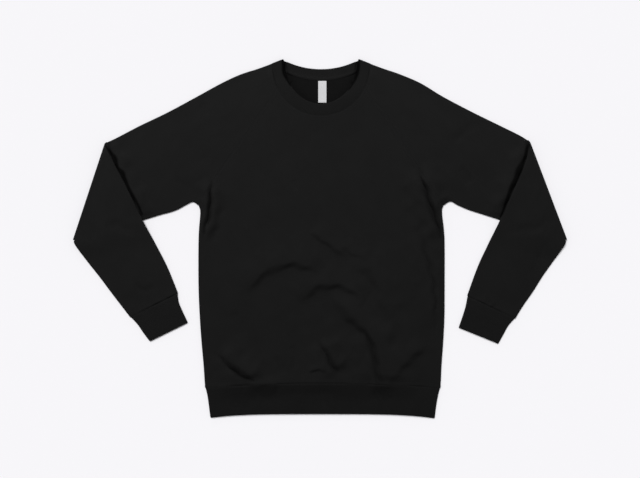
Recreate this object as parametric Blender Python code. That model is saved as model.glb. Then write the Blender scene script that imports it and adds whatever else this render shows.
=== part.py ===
"""A raglan crewneck sweatshirt, laid flat on its back with both sleeves folded forward at the elbow.

Metres, +Z up. The neck points to +Y and the hem to -Y. The origin lies on the surface the garment rests on,
at the middle of its overall width and length. Left and right are as seen from above, so "left" is at -X.

Every piece of cloth is a net of sections with an outer and an inner face and a rim between them, and is
named for the piece that a maker would cut. Sections are worked out from the sizes and tables below.
"""

import math

import bmesh
import bpy
import numpy as np

MM = 0.001

# ---------------------------------------------------------------- driving dimensions
FLEECE = 2.4 * MM  # one wall of brushed fleece
RIB = 2.6 * MM  # one wall of rib knit, which is folded double
LABEL = 0.8 * MM  # woven tape
SEAM_GAP = 0.3 * MM  # between pieces that are sewn together
FOLD_GAP = 0.6 * MM  # between a sleeve and the forearm folded onto it

TUBE = 5.6 * MM  # height of a flattened tube at its edges: two walls and the air between them
EDGE = TUBE / 2  # radius of the rounding along an edge
PUFF = 2.5 * MM  # how much further the upper layer stands up away from the edges
PUFF_REACH = 70 * MM  # distance from an edge at which it does so
FOLD_FADE = 60 * MM  # near an elbow fold or a cuff seam the layers are pressed flat
EDGE_FADE = 14 * MM  # near an edge the creases fade out
DROP = 55 * MM  # a forearm comes down to the floor over this distance
HEM_RISE = 1.2 * MM  # how much the front of the hem band stands up in its middle
HEM_SOFTNESS = 6  # it does so within this part of the width from either edge: a sixth
BAND_RISE = 0.2 * MM  # how much the neckband stands above the front panel
BAND_DESCENT = math.radians(35)  # from a shoulder to where the band's front half lies at its full height
ARMHOLE_BEND = 4  # over this many sections the armhole's curve straightens out
DROP_SECTION = 3  # the section of the upper sleeve from whose underarm edge a forearm starts to come down

NECK_X = 0.8 * MM  # the neck lies a little to the right
NECK_OPEN = (77.5 * MM, 89.5 * MM, 365.0 * MM)  # half width, depth and height of the ellipse of the opening
NECK_SEAM = (100.5 * MM, 103.8 * MM, 355.8 * MM)  # the same for the seam between band and front
BACK_NECK_OPEN = 347.6 * MM  # height of the back of the neck at its middle
BACK_NECK_SEAM = 324.3 * MM
NECK_CORNER = math.radians(62.8)  # where a front raglan seam meets the neck seam, from the front's middle
BACK_NECK_CORNER = 0.66  # where a back raglan seam meets it, as a share of the half width

HEM_SEAM_Y = -295.8 * MM  # at the middle; the seam sinks towards its ends
HEM_SEAM_SINK = 10.5 * MM
HEM_EDGE_Y = -359.7 * MM
HEM_EDGE_SINK = 10.3 * MM
HEM_HALF = 242 * MM  # half the width over which the two sink
CUFF_TUCK = 1.6 * MM  # how much narrower than the sleeve a cuff starts, on each side

LABEL_X = 3.0 * MM
LABEL_WIDTH = 17.4 * MM
LABEL_LENGTH = 46.0 * MM

# ---------------------------------------------------------------- sections, in mm
# Body. Each row: height, left edge, right edge. The first is the underarm, the last the hem seam.
SIDES = (
    (68, -251.0, 251.5),
    (60, -248.0, 248.8),
    (48, -247.6, 249.0),
    (0, -250.9, 253.6),
    (-95, -251.1, 253.9),
    (-160, -248.5, 253.5),
    (-210, -245.1, 251.1),
    (-260, -240.7, 247.6),
    (-306.3, -237.6, 245.4),
)
# Hem band, from its seam to its edge, in the same columns.
HEM_SIDES = (
    (-306.6, -236.2, 243.8),
    (-324, -232.2, 239.6),
    (-345, -229.3, 236.0),
    (-368, -226.3, 233.2),
)

# Raglan seams, each from the underarm to just short of the neck seam.
RAGLANS = {
    ("front", "left"): ((-251, 68), (-229, 104), (-186, 169), (-150, 218), (-124, 258), (-99, 290)),
    ("front", "right"): ((251.5, 68), (229, 101), (188, 162), (156, 214), (130, 257), (101, 290)),
    ("back", "left"): ((-251, 68), (-214, 122), (-161, 198), (-106, 276)),
    ("back", "right"): ((251.5, 68), (215, 122), (163, 198), (108, 276)),
}

# Sleeves, from the armhole to the elbow fold, from there to the cuff seam, and the cuff.
# Each row: the point on the edge that starts at the shoulder, and the point on the edge that starts at the
# underarm. The armhole itself comes from the raglan and neck seams.
UPPER = {
    "left": (
        ((-130.0, 348.0), (-262.6, 75.0)),
        ((-165.0, 336.6), (-276.0, 69.4)),
        ((-204.0, 318.6), (-299.0, 57.4)),
        ((-254.0, 291.2), (-331.0, 48.2)),
        ((-315.0, 258.4), (-370.0, 36.2)),
        ((-372.0, 231.0), (-415.0, 23.4)),
        ((-418.0, 208.0), (-462.0, 9.4)),
        ((-441.5, 195.6), (-508.6, -4.8)),
    ),
    "right": (
        ((131.0, 347.8), (265.6, 76.0)),
        ((163.0, 336.8), (280.5, 68.6)),
        ((205.0, 318.6), (303.0, 59.0)),
        ((250.0, 291.4), (334.0, 49.0)),
        ((308.0, 260.8), (371.0, 37.2)),
        ((363.0, 233.8), (415.0, 23.8)),
        ((408.0, 211.6), (462.0, 9.6)),
        ((430.6, 196.8), (505.6, -4.2)),
    ),
}
FORE = {
    "left": (
        ((-425.5, 162.0), (-503.8, -12.0)),
        ((-398.5, 107.5), (-480.6, -45.2)),
        ((-363.4, 38.6), (-455.1, -77.5)),
        ((-338.7, -12.0), (-430.5, -110.3)),
        ((-315.4, -57.5), (-409.6, -137.6)),
        ((-292.9, -112.6), (-391.2, -161.6)),
    ),
    "right": (
        ((416.0, 163.0), (499.9, -12.0)),
        ((393.0, 107.5), (478.4, -44.2)),
        ((365.8, 38.6), (455.4, -76.6)),
        ((342.9, -12.0), (434.8, -109.4)),
        ((321.8, -57.5), (414.4, -138.6)),
        ((299.8, -117.6), (398.8, -164.2)),
    ),
}
CUFF = {
    "left": (
        ((-292.0, -130.6), (-375.4, -176.6)),
        ((-283.6, -150.6), (-363.5, -194.0)),
        ((-273.3, -172.6), (-350.9, -210.8)),
    ),
    "right": (
        ((297.0, -140.0), (384.2, -178.8)),
        ((290.5, -160.9), (374.4, -196.4)),
        ((282.9, -182.9), (363.8, -215.6)),
    ),
}

# The largest creases of the front. Each row: start, bend and end, height (a trough is negative), half width.
CREASES = (
    ((-136, -95), (-92, -50), (-8, -62), -2.4, 14),
    ((-20, -12), (40, -34), (96, -38), -1.6, 14),
    ((-20, -112), (30, -96), (78, -116), -2.2, 14),
    ((30, -140), (100, -180), (122, -274), -2.8, 16),
    ((-40, -160), (64, -130), (66, -230), 2.2, 36),
    ((-200, -240), (-176, -272), (-140, -286), -2.0, 14),
    ((206, 112), (226, 64), (244, 18), -2.0, 12),
)

# ---------------------------------------------------------------- net steps
ROUND = (0.0, EDGE * (1 - math.sqrt(0.5)), EDGE)  # distances from an edge that follow its rounding
SIDE = 18
SIDE_POWER = 1.6  # above 1, the steps up a side get closer towards the underarm
FRONT_ACROSS = 30
BACK_ACROSS = 8
RAGLAN = 6
NECK_SIDE = 3
TURN = 4
BAND = 2
HEM_ACROSS = 14
CUFF_ACROSS = 4

COLOURS = {  # base colour, roughness
    "fleece": ((0.012, 0.012, 0.012, 1), 0.95),
    "rib": ((0.010, 0.010, 0.010, 1), 0.92),
    "label": ((0.80, 0.80, 0.78, 1), 0.75),
}
SIGN = {"left": -1, "right": 1}


# ---------------------------------------------------------------- curves in the plane
def smooth(x):
    """0 below 0, 1 above 1, and an even slope between."""
    x = np.clip(x, 0, 1)
    return x * x * (3 - 2 * x)


def through(points, at):
    """A smooth line through the points, read at each of `at`, where 0 is the first point and 1 the second."""
    p = np.array(points, float)
    p = np.vstack([2 * p[0] - p[1], p, 2 * p[-1] - p[-2]])
    i = np.clip(np.asarray(at).astype(int), 0, len(p) - 4)
    t = (at - i)[:, None]
    a, b, c, d = p[i], p[i + 1], p[i + 2], p[i + 3]
    return b + 0.5 * t * (c - a + t * (2 * a - 5 * b + 4 * c - d + t * (3 * (b - c) + d - a)))


def fine(points):
    """A smooth line through the points, as a chain of short straight pieces."""
    spans = len(points) - 1
    return through(points, np.linspace(0, spans, spans * 12 + 1))


def run_of(line):
    """The length of a chain of straight pieces up to each of its points."""
    return np.concatenate([[0], np.cumsum(np.linalg.norm(np.diff(line, axis=0), axis=1))])


def along(line, share):
    """Points of a chain of straight pieces, at each share of its length."""
    run = run_of(line)
    return np.stack([np.interp(share * run[-1], run, line[:, k]) for k in range(2)], axis=1)


def to_the_left(line, amount):
    """The line moved to its left-hand side."""
    run = np.gradient(line, axis=0)
    run /= np.linalg.norm(run, axis=1)[:, None]
    return line + amount * np.stack([-run[:, 1], run[:, 0]], axis=1)


def distance(points, lines):
    """How far each point is from the nearest of the lines."""
    best = np.full(len(points), np.inf)
    for line in lines:
        start, run = line[:-1], np.diff(line, axis=0)
        share = np.clip(((points[:, None] - start) * run).sum(2) / (run**2).sum(1), 0, 1)
        away = np.linalg.norm(points[:, None] - start - share[..., None] * run, axis=2)
        best = np.minimum(best, away.min(1))
    return best


def with_round_ends(width, steps):
    """Shares of a width: close steps at both its edges, even ones between."""
    near = np.array(ROUND) / width
    return np.concatenate([near[:-1], np.linspace(near[-1], 1 - near[-1], steps + 1), 1 - near[-2::-1]])


# ---------------------------------------------------------------- seams and outline
def neck_arc(ellipse, angle):
    """The front of the neck. The angle is 0 at the middle of the front and a right angle at a shoulder."""
    half, depth, height = ellipse
    return np.stack([NECK_X + half * np.sin(angle), height - depth * np.cos(angle)], axis=1)


def back_arc(ellipse, middle, share):
    """The back of the neck. The share is -1 at the left shoulder and 1 at the right one."""
    return np.stack([NECK_X + share * ellipse[0], middle + (ellipse[2] - middle) * share**2], axis=1)


def shoulder(side):
    """The end of the neck seam at a shoulder, and the direction in which the band folds over there."""
    run = np.array([NECK_SEAM[0] - NECK_OPEN[0], NECK_SEAM[2] - NECK_OPEN[2]])
    run /= np.linalg.norm(run)
    end = np.array([NECK_X + SIGN[side] * NECK_SEAM[0], NECK_SEAM[2]])
    return end, np.array([-SIGN[side] * run[1], run[0]])


def side_edge(column):
    """An edge of the body from the hem seam up to the underarm; column 1 is left and 2 is right."""
    return fine([(row[column] * MM, row[0] * MM) for row in reversed(SIDES)])


def sleeve_edge(side, column):
    """An edge of the upper sleeve, from the armhole to the elbow fold."""
    end, over = shoulder(side)
    start = (end + over * EDGE) / MM if column == 0 else RAGLANS["front", side][0]
    return fine([start] + [row[column] for row in UPPER[side]]) * MM


OUTLINE = [side_edge(1), side_edge(2)] + [sleeve_edge(side, column) for side in SIGN for column in (0, 1)]
FOLDS = [np.array(UPPER[side][-1]) * MM for side in SIGN]
CREASE_LINES = [(through(row[:3], np.linspace(0, 2, 13)) * MM, row[3] * MM, row[4] * MM) for row in CREASES]
SLACK = TUBE - 2 * FLEECE - SEAM_GAP  # how far the upper layer can sink before it meets the lower one


# ---------------------------------------------------------------- how the layers lie
def rise(points):
    """How much further than at its edges the upper layer of the body and upper sleeves stands up."""
    away = distance(points, OUTLINE)
    up = PUFF * smooth(away / PUFF_REACH) * smooth(distance(points, FOLDS) / FOLD_FADE)
    for line, height, half_width in CREASE_LINES:
        up += height * np.exp(-((distance(points, [line]) / half_width) ** 2))
    return np.maximum(up * smooth(away / EDGE_FADE), -SLACK)


def layer(points, edges, wall, up, lift=0.0):
    """The outer and the inner face of a section of one layer of a flattened tube, from edge to edge; up is 1
    for the upper layer and -1 for the lower one. Near an edge both turn round the middle height."""
    away = np.clip(distance(points, edges) / EDGE, 0, 1)
    turn = np.sqrt(1 - (1 - away) ** 2)
    inward = np.gradient(points, axis=0)
    inward /= np.linalg.norm(inward, axis=1)[:, None]
    inward[len(points) // 2 :] *= -1
    inner = points + inward * (wall * (1 - away))[:, None]
    outer = np.column_stack([points, EDGE + up * EDGE * turn + lift])
    inner = np.column_stack([inner, EDGE + up * (EDGE - wall) * turn + lift])
    return np.stack([outer, inner])


def ring(first, second):
    """One closed section, there along the first layer and back along the second."""
    ends = (first[:, [0, -1]] + second[:, [0, -1]]) / 2
    return np.concatenate([ends[:, :1], first[:, 1:-1], ends[:, 1:], second[:, -2:0:-1]], axis=1)


# ---------------------------------------------------------------- making a piece of cloth
def material(kind):
    found = bpy.data.materials.get(kind)
    if found:
        return found
    made = bpy.data.materials.new(kind)
    made.use_nodes = True
    shader = made.node_tree.nodes["Principled BSDF"]
    colour, roughness = COLOURS[kind]
    shader.inputs["Base Color"].default_value = colour
    shader.inputs["Roughness"].default_value = roughness
    shader.inputs["Metallic"].default_value = 0
    made.diffuse_color = colour
    return made


def cloth(name, net, kind, tube):
    """A piece of cloth lofted through a net of points: net[row, face, column], with face 0 outside and 1
    inside. A tube's rows are closed. Rims join the two faces along every open side."""
    outer, inner = np.swapaxes(np.array(net), 0, 1)
    index = np.arange(outer[..., 0].size).reshape(outer.shape[:2])
    twin = index.size
    if tube:
        index = np.hstack([index, index[:, :1]])
    faces = np.stack([index[:-1, :-1], index[:-1, 1:], index[1:, 1:], index[1:, :-1]], axis=-1).reshape(-1, 4)
    rims = [index[0, ::-1], index[-1]]
    if not tube:
        rims += [index[:, 0], index[::-1, -1]]
    faces = [*faces, *(faces[:, ::-1] + twin)]
    for line in rims:
        faces += [*np.stack([line[:-1], line[1:], line[1:] + twin, line[:-1] + twin], axis=-1)]
    mesh = bpy.data.meshes.new(name)
    points = np.concatenate([outer.reshape(-1, 3), inner.reshape(-1, 3)])
    mesh.from_pydata(points.tolist(), [], [face.tolist() for face in faces])
    shape = bmesh.new()
    shape.from_mesh(mesh)
    bmesh.ops.recalc_face_normals(shape, faces=shape.faces)
    shape.to_mesh(mesh)
    shape.free()
    mesh.shade_smooth()
    mesh.materials.append(material(kind))
    piece = bpy.data.objects.new(name, mesh)
    GARMENT.objects.link(piece)
    return piece


# ---------------------------------------------------------------- front and back
def raglan_seam(face, side, corner):
    """A raglan seam from the underarm to the neck seam, where both its pieces have points."""
    line = np.vstack([fine(RAGLANS[face, side]) * MM, corner])
    near = np.array(ROUND) / run_of(line)[-1]
    return along(line, np.concatenate([near[:-1], np.linspace(near[-1], 1, RAGLAN + 1)]))


def front_corner(side):
    return neck_arc(NECK_SEAM, np.array([SIGN[side] * NECK_CORNER]))


def back_corner(side):
    return back_arc(NECK_SEAM, BACK_NECK_SEAM, np.array([SIGN[side] * BACK_NECK_CORNER]))


def hem_line(x, middle, sink, power):
    return np.stack([x, middle - sink * np.abs(x / HEM_HALF) ** power], axis=1)


def body_net(face, corner, top, u):
    """The front or the back in the plane: rows of points from the hem seam up to the neck seam."""
    edges = {}
    closer_near_underarm = 1 - np.linspace(1, 0, SIDE + 1) ** SIDE_POWER
    for side, column in (("left", 1), ("right", 2)):
        edge = along(side_edge(column), closer_near_underarm)
        seam = to_the_left(raglan_seam(face, side, corner(side)), SIGN[side] * SEAM_GAP / 2)
        edges[side] = np.vstack([edge[:-1], seam])
    left, right = edges["left"], edges["right"]
    v = run_of(left) / run_of(left)[-1]
    bottom = hem_line(left[0, 0] + (right[0, 0] - left[0, 0]) * u, HEM_SEAM_Y, HEM_SEAM_SINK, 2)
    bottom[[0, -1]] = left[0], right[0]
    top[[0, -1]] = left[-1], right[-1]
    u, v = u[None, :, None], v[:, None, None]
    corners = (1 - v) * ((1 - u) * left[0] + u * right[0]) + v * ((1 - u) * left[-1] + u * right[-1])
    return (1 - v) * bottom + v * top + (1 - u) * left[:, None] + u * right[:, None] - corners


BODY_WIDTH = (SIDES[0][2] - SIDES[0][1]) * MM
FRONT_U = with_round_ends(BODY_WIDTH, FRONT_ACROSS)
BACK_U = with_round_ends(BODY_WIDTH, BACK_ACROSS)


def front_panel():
    top = to_the_left(neck_arc(NECK_SEAM, (2 * FRONT_U - 1) * NECK_CORNER), -SEAM_GAP / 2)
    net = body_net("front", front_corner, top, FRONT_U)
    rows = []
    for line in net:
        row = layer(line, OUTLINE, FLEECE, 1, rise(line))
        row[..., 2] = np.maximum(row[..., 2], EDGE + SEAM_GAP / 2)
        rows.append(row)
    cloth("front_panel", rows, "fleece", tube=False)


def back_panel():
    top = to_the_left(back_arc(NECK_SEAM, BACK_NECK_SEAM, (2 * BACK_U - 1) * BACK_NECK_CORNER), -SEAM_GAP / 2)
    net = body_net("back", back_corner, top, BACK_U)
    rows = []
    for line in net:
        row = layer(line, OUTLINE, FLEECE, -1)
        row[..., 2] = np.minimum(row[..., 2], EDGE - SEAM_GAP / 2)
        rows.append(row)
    cloth("back_panel", rows, "fleece", tube=False)


# ---------------------------------------------------------------- sleeves and cuffs
def neck_side(side):
    """Angles and shares at which a sleeve and the neckband have points, from the raglan seams outwards."""
    angle = np.linspace(NECK_CORNER, math.pi / 2, NECK_SIDE + 1)
    share = np.linspace(BACK_NECK_CORNER, 1, NECK_SIDE + 1)
    return SIGN[side] * angle, SIGN[side] * share


def armhole(side):
    """The front and the back half of a sleeve's first section, each from the underarm to the shoulder."""
    end, over = shoulder(side)
    angle, share = neck_side(side)
    tip = end + np.outer([EDGE - ROUND[1], EDGE], over)
    halves = []
    for face, corner, arc in (
        ("front", front_corner(side), neck_arc(NECK_SEAM, angle)),
        ("back", back_corner(side), back_arc(NECK_SEAM, BACK_NECK_SEAM, share)),
    ):
        seam = to_the_left(raglan_seam(face, side, corner), -SIGN[side] * SEAM_GAP / 2)
        neck = to_the_left(np.vstack([arc, tip]), -SIGN[side] * SEAM_GAP / 2)
        neck[0] += seam[-1] - corner[0]
        halves.append(np.vstack([seam[:-1], neck]))
    return halves


def across(top, under, middle):
    """Points of a straight section, with close steps at both its ends."""
    width = np.linalg.norm(top - under)
    near = np.array(ROUND) / width
    share = np.concatenate([near[:-1], near[-1] + (1 - 2 * near[-1]) * middle, 1 - near[-2::-1]])
    return under + (top - under) * share[:, None]


def upper_rings(side):
    """Sections from the armhole to where the elbow fold starts to turn, and the direction out of the fold."""
    table = np.array(UPPER[side]) * MM
    fold = table[-1, 1] - table[-1, 0]
    out = np.array([-fold[1], fold[0]]) / np.linalg.norm(fold)
    out *= np.sign(out[0]) * SIGN[side]
    run = table[-2] - table[-1]
    table[-1] -= run * ((TUBE + FOLD_GAP / 2) / (run @ out))[:, None]

    halves = armhole(side)
    ends = halves[0][-1], halves[0][0]
    middles, swings = [], []
    for half in halves:
        run = run_of(half)[len(ROUND) - 1 : 1 - len(ROUND)]
        middles.append((run - run[0]) / (run[-1] - run[0]))
        swings.append(half - across(*ends, middles[-1]))
    rings = []
    for k, (top, under) in enumerate([ends, *table]):
        keep = smooth(1 - k / ARMHOLE_BEND)
        front, back = (across(top, under, m) + keep * s for m, s in zip(middles, swings))
        rings.append(ring(layer(front, OUTLINE, FLEECE, 1, rise(front)), layer(back, OUTLINE, FLEECE, -1)))
    return rings, middles, table, out


def sleeve(side):
    """A tube from the raglan seams over the elbow fold to the cuff seam."""
    rings, middles, upper, out = upper_rings(side)
    axis = TUBE + FOLD_GAP / 2
    flat = rings[-1]
    for turn in np.linspace(0, math.pi, TURN + 1)[1:]:
        reach = axis - flat[..., 2:]
        plan = flat[..., :2] + reach * math.sin(turn) * out
        rings.append(np.concatenate([plan, axis - reach * math.cos(turn)], axis=2))

    # The forearm, turned over by the fold, lies on the upper sleeve and then comes down to the floor.
    fore = np.array(FORE[side]) * MM
    chain = np.concatenate([upper[-1:], fore])
    edges = [fine(chain[:, 0]), fine(chain[:, 1])]
    start, end = upper[DROP_SECTION, 1], upper[-1, 1]
    below = np.array([end[1] - start[1], start[0] - end[0]]) / np.linalg.norm(end - start)
    below *= -np.sign(below[1])
    pressed = [upper[-1], fore[-1]]

    def base(points):
        return (TUBE + FOLD_GAP + rise(points)) * smooth(1 - (points - start) @ below / DROP)

    for top, under in fore:
        front, back = (across(top, under, m) for m in middles)
        puff = PUFF * smooth(distance(back, edges) / PUFF_REACH) * smooth(distance(back, pressed) / FOLD_FADE)
        low = layer(front, edges, FLEECE, -1, base(front))
        high = layer(back, edges, FLEECE, 1, base(back) + puff)
        rings.append(ring(low, high))
    cloth(f"sleeve_{side}", rings, "fleece", tube=True)


def cuff(side):
    """A rib tube that starts just past the sleeve's last section and a little narrower than it."""
    top, under = np.array(FORE[side][-1]) * MM
    table = np.array(CUFF[side]) * MM
    run = (under - top) / np.linalg.norm(under - top)
    on = np.array([run[1], -run[0]])
    on *= np.sign(on @ (table[0, 0] - top))
    start = [[top + on * SEAM_GAP + run * CUFF_TUCK, under + on * SEAM_GAP - run * CUFF_TUCK]]
    table = np.concatenate([start, table])
    edges = [fine(table[:, 0]), fine(table[:, 1])]
    middle = np.linspace(0, 1, CUFF_ACROSS + 1)
    rings = []
    for top, under in table:
        line = across(top, under, middle)
        rings.append(ring(layer(line, edges, RIB, -1), layer(line, edges, RIB, 1)))
    cloth(f"cuff_{side}", rings, "rib", tube=True)


# ---------------------------------------------------------------- hem band, neckband and label
def hem_band():
    steps = np.linspace(0, len(HEM_SIDES) - 1, 4)
    left = through([(row[1], row[0]) for row in HEM_SIDES], steps) * MM
    right = through([(row[2], row[0]) for row in HEM_SIDES], steps) * MM
    edges = [left, right[::-1]]
    rings = []
    for k, (a, b) in enumerate(zip(left, right)):
        u = with_round_ends(b[0] - a[0], HEM_ACROSS)
        x = a[0] + (b[0] - a[0]) * u
        down = k / (len(left) - 1)
        line = hem_line(x, HEM_SEAM_Y - SEAM_GAP, HEM_SEAM_SINK, 2) * (1 - down)
        line += hem_line(x, HEM_EDGE_Y, HEM_EDGE_SINK, 4) * down
        lift = HEM_RISE * smooth(np.minimum(u, 1 - u) * HEM_SOFTNESS)
        rings.append(ring(layer(line, edges, RIB, 1, lift), layer(line, edges, RIB, -1)))
    cloth("hem_band", rings, "rib", tube=True)


def neckband():
    """The rib ring. Its back half lies on the floor and its front half on the back panel. At each shoulder
    the one turns into the other."""
    left_angle, left_share = (values[1:] for values in neck_side("left"))
    right_angle, right_share = (values[1:] for values in neck_side("right"))
    angle = np.concatenate([left_angle[::-1], (2 * FRONT_U - 1) * NECK_CORNER, right_angle])
    share = np.concatenate([right_share[::-1], (1 - 2 * BACK_U) * BACK_NECK_CORNER, left_share])
    half_turn = np.linspace(0, math.pi, TURN + 1)[1:-1]
    lifted = smooth((math.pi / 2 - np.abs(angle)) / BAND_DESCENT)
    rows = []
    for step in np.linspace(0, 1, BAND + 1):
        over = neck_arc(NECK_SEAM, angle) * (1 - step) + neck_arc(NECK_OPEN, angle) * step
        under = back_arc(NECK_SEAM, BACK_NECK_SEAM, share) * (1 - step)
        under += back_arc(NECK_OPEN, BACK_NECK_OPEN, share) * step
        if step == 0:
            over = to_the_left(over, SEAM_GAP / 2)
            under = to_the_left(under, -SEAM_GAP / 2)
            over[[0, -1]] = under[[-1, 0]] = (over[[0, -1]] + under[[-1, 0]]) / 2
        lift = (rise(over) + BAND_RISE) * lifted
        faces = []
        for radius in (EDGE, EDGE - RIB):
            bends = []
            for corner, side, turn in ((over[-1], "right", half_turn), (over[0], "left", half_turn[::-1])):
                plan = corner + np.outer(np.sin(turn) * radius, shoulder(side)[1])
                bends.append(np.column_stack([plan, EDGE + radius * np.cos(turn)]))
            front = np.column_stack([over, EDGE + radius + lift])
            back = np.column_stack([under, np.full(len(under), EDGE - radius)])
            faces.append(np.vstack([front, bends[0], back, bends[1]]))
        rows.append(faces)
    cloth("neckband", rows, "rib", tube=True)


def neck_label():
    """A strip that hangs from the back neck seam, on the back panel."""
    x = LABEL_X + np.linspace(-LABEL_WIDTH / 2, LABEL_WIDTH / 2, 3)
    top = BACK_NECK_SEAM - SEAM_GAP
    rows = []
    for y in np.linspace(top - LABEL_LENGTH, top, 5):
        rows.append([[(a, y, FLEECE + SEAM_GAP + h) for a in x] for h in (LABEL, 0)])
    cloth("neck_label", rows, "label", tube=False)


# ---------------------------------------------------------------- the garment
for old in list(bpy.data.objects):
    bpy.data.objects.remove(old, do_unlink=True)
GARMENT = bpy.data.collections.new("crewneck_sweatshirt")
bpy.context.scene.collection.children.link(GARMENT)

back_panel()
front_panel()
for name in SIGN:
    sleeve(name)
    cuff(name)
hem_band()
neckband()
neck_label()
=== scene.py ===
# %% [markdown]
# # A raglan crewneck sweatshirt, laid flat
#
# The real garment is cut from brushed-back cotton fleece: one front, one back and two sleeves that run up to
# the neck (that is what "raglan" means). Four bands of rib knit, folded double, finish the neck, the hem and
# the cuffs. It lies on its back on a table, and both sleeves are folded forward at the elbow.
#
# The frame holds a plain solid for each cut piece. Here each one gets a fine skin with its creases, seams,
# ribs and stitches, in the same place and at the same size.

# %% Load the frame
import math

import bpy
import numpy as np
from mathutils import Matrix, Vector


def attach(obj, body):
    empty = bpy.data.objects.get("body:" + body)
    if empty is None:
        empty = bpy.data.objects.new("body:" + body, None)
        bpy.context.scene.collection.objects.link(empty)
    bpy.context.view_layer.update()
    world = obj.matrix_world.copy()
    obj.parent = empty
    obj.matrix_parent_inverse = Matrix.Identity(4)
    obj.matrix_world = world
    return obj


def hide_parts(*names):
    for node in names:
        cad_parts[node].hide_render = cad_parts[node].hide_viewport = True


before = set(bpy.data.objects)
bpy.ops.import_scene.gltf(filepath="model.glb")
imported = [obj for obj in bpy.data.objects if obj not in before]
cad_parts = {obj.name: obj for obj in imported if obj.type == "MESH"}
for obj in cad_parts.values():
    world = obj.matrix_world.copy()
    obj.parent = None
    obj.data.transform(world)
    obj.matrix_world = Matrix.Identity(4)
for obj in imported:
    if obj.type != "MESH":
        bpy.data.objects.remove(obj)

bpy.ops.object.select_all(action="DESELECT")
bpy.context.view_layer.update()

# %% [markdown]
# ## Camera, table and light
#
# A garment like this is shown from straight above, on pale paper. The paper should be evenly bright, while
# the cloth needs light from the side, or its creases wouldn't show. Two lamps stand beyond the neck, near
# enough that their light falls off towards the hem, and a weaker one stands on each side. One kind of lamp
# can't do both jobs, so a wide sun lights only the paper, the four lamps light only the garment, and a white
# sky fills in both.

# %% Camera straight above the garment
MM = 0.001
PICTURE_WIDTH = 640
PIXEL = 2.054 * MM  # how much of the table one pixel shows
CAMERA_HEIGHT = 2.4  # in metres, as every length without MM is
CAMERA_X = -1.75 * MM
CAMERA_Y = -0.92 * MM

bpy.ops.object.camera_add(location=(CAMERA_X, CAMERA_Y, CAMERA_HEIGHT), rotation=(0, 0, 0))
camera = bpy.context.object
camera.data.lens = camera.data.sensor_width * CAMERA_HEIGHT / (PICTURE_WIDTH * PIXEL)
bpy.context.scene.camera = camera
print(f"lens {camera.data.lens:.1f} mm")


# %% Helpers for colours and material nodes
def linear(colour):
    """A colour written as an sRGB hex value, such as "#1c1c1c", as the linear values that shaders take."""
    parts = [int(colour[k : k + 2], 16) / 255 for k in (1, 3, 5)]
    return [v / 12.92 if v <= 0.04045 else ((v + 0.055) / 1.055) ** 2.4 for v in parts] + [1]


def add_node(tree, kind, inputs=None, **settings):
    """Adds a node. A setting is given by name, and an input is a value or another node's output."""
    made = tree.nodes.new(kind)
    for name, value in settings.items():
        setattr(made, name, value)
    for name, value in (inputs or {}).items():
        if isinstance(value, bpy.types.NodeSocket):
            tree.links.new(value, made.inputs[name])
        else:
            made.inputs[name].default_value = value
    return made


def new_material(name):
    """A material with only its output, and its node tree."""
    made = bpy.data.materials.new(name)
    made.use_nodes = True
    made.node_tree.nodes.clear()
    return made, made.node_tree


# %% Table and light
FLOOR_SIZE = 12.0
FLOOR_DROP = 0.2 * MM  # keeps the table's face just clear of the cloth
PAPER = "#f2f1f4"
PAPER_GRAIN = 2.5 * MM
SKY_STRENGTH = 0.25
SUN_STRENGTH = 2.77
SUN_FROM = Vector((-0.2, 0.42, 1.0))
SUN_SPREAD = math.radians(30)
LAMPS = (  # place, width and height, power
    (Vector((-0.66, 1.55, 1.45)), (0.5, 0.5), 17.5),
    (Vector((0.42, 1.55, 1.45)), (0.5, 0.5), 12.5),
    (Vector((-1.9, 0.15, 1.4)), (0.8, 0.8), 10),
    (Vector((1.9, 0.15, 1.4)), (0.8, 0.8), 5),
)
LAMP_TOWARDS = Vector((0, 0.1, 0))

bpy.ops.mesh.primitive_plane_add(size=FLOOR_SIZE, location=(0, 0, -FLOOR_DROP))
floor = bpy.context.object
floor.name = "paper_floor"
paper, tree = new_material("matt_studio_paper")
grain = add_node(tree, "ShaderNodeTexNoise", {"Scale": 1 / PAPER_GRAIN, "Detail": 3.0})
bump = add_node(tree, "ShaderNodeBump", {
    "Height": grain.outputs["Fac"], "Strength": 0.05, "Distance": 0.1 * MM})
shader = add_node(tree, "ShaderNodeBsdfPrincipled", {
    "Base Color": linear(PAPER), "Roughness": 0.9, "Specular IOR Level": 0.2,
    "Normal": bump.outputs["Normal"]})
add_node(tree, "ShaderNodeOutputMaterial", {"Surface": shader.outputs["BSDF"]})
floor.data.materials.append(paper)

world = bpy.data.worlds.new("white_studio")
world.use_nodes = True
sky = world.node_tree.nodes["Background"]
sky.inputs["Color"].default_value = (1, 1, 1, 1)
sky.inputs["Strength"].default_value = SKY_STRENGTH
bpy.context.scene.world = world

bpy.ops.object.light_add(type="SUN", location=SUN_FROM)
sun = bpy.context.object
sun.name = "paper_light"
sun.rotation_euler = SUN_FROM.to_track_quat("Z", "Y").to_euler()
sun.data.energy = SUN_STRENGTH
sun.data.angle = SUN_SPREAD
lamps = []
for number, (place, size, power) in enumerate(LAMPS):
    bpy.ops.object.light_add(type="AREA", location=place)
    lamp = bpy.context.object
    lamp.name = f"garment_lamp_{number + 1}"
    lamp.rotation_euler = (place - LAMP_TOWARDS).to_track_quat("Z", "Y").to_euler()
    lamp.data.shape = "RECTANGLE"
    lamp.data.size, lamp.data.size_y = size
    lamp.data.energy = power
    lamps.append(lamp)
bpy.context.scene.view_settings.view_transform = "Standard"


def light_only(light, pieces):
    """The light reaches these pieces and nothing else."""
    reached = bpy.data.collections.new(f"lit_by_{light.name}")
    for piece in pieces:
        reached.objects.link(piece)
    light.light_linking.receiver_collection = reached


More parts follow.
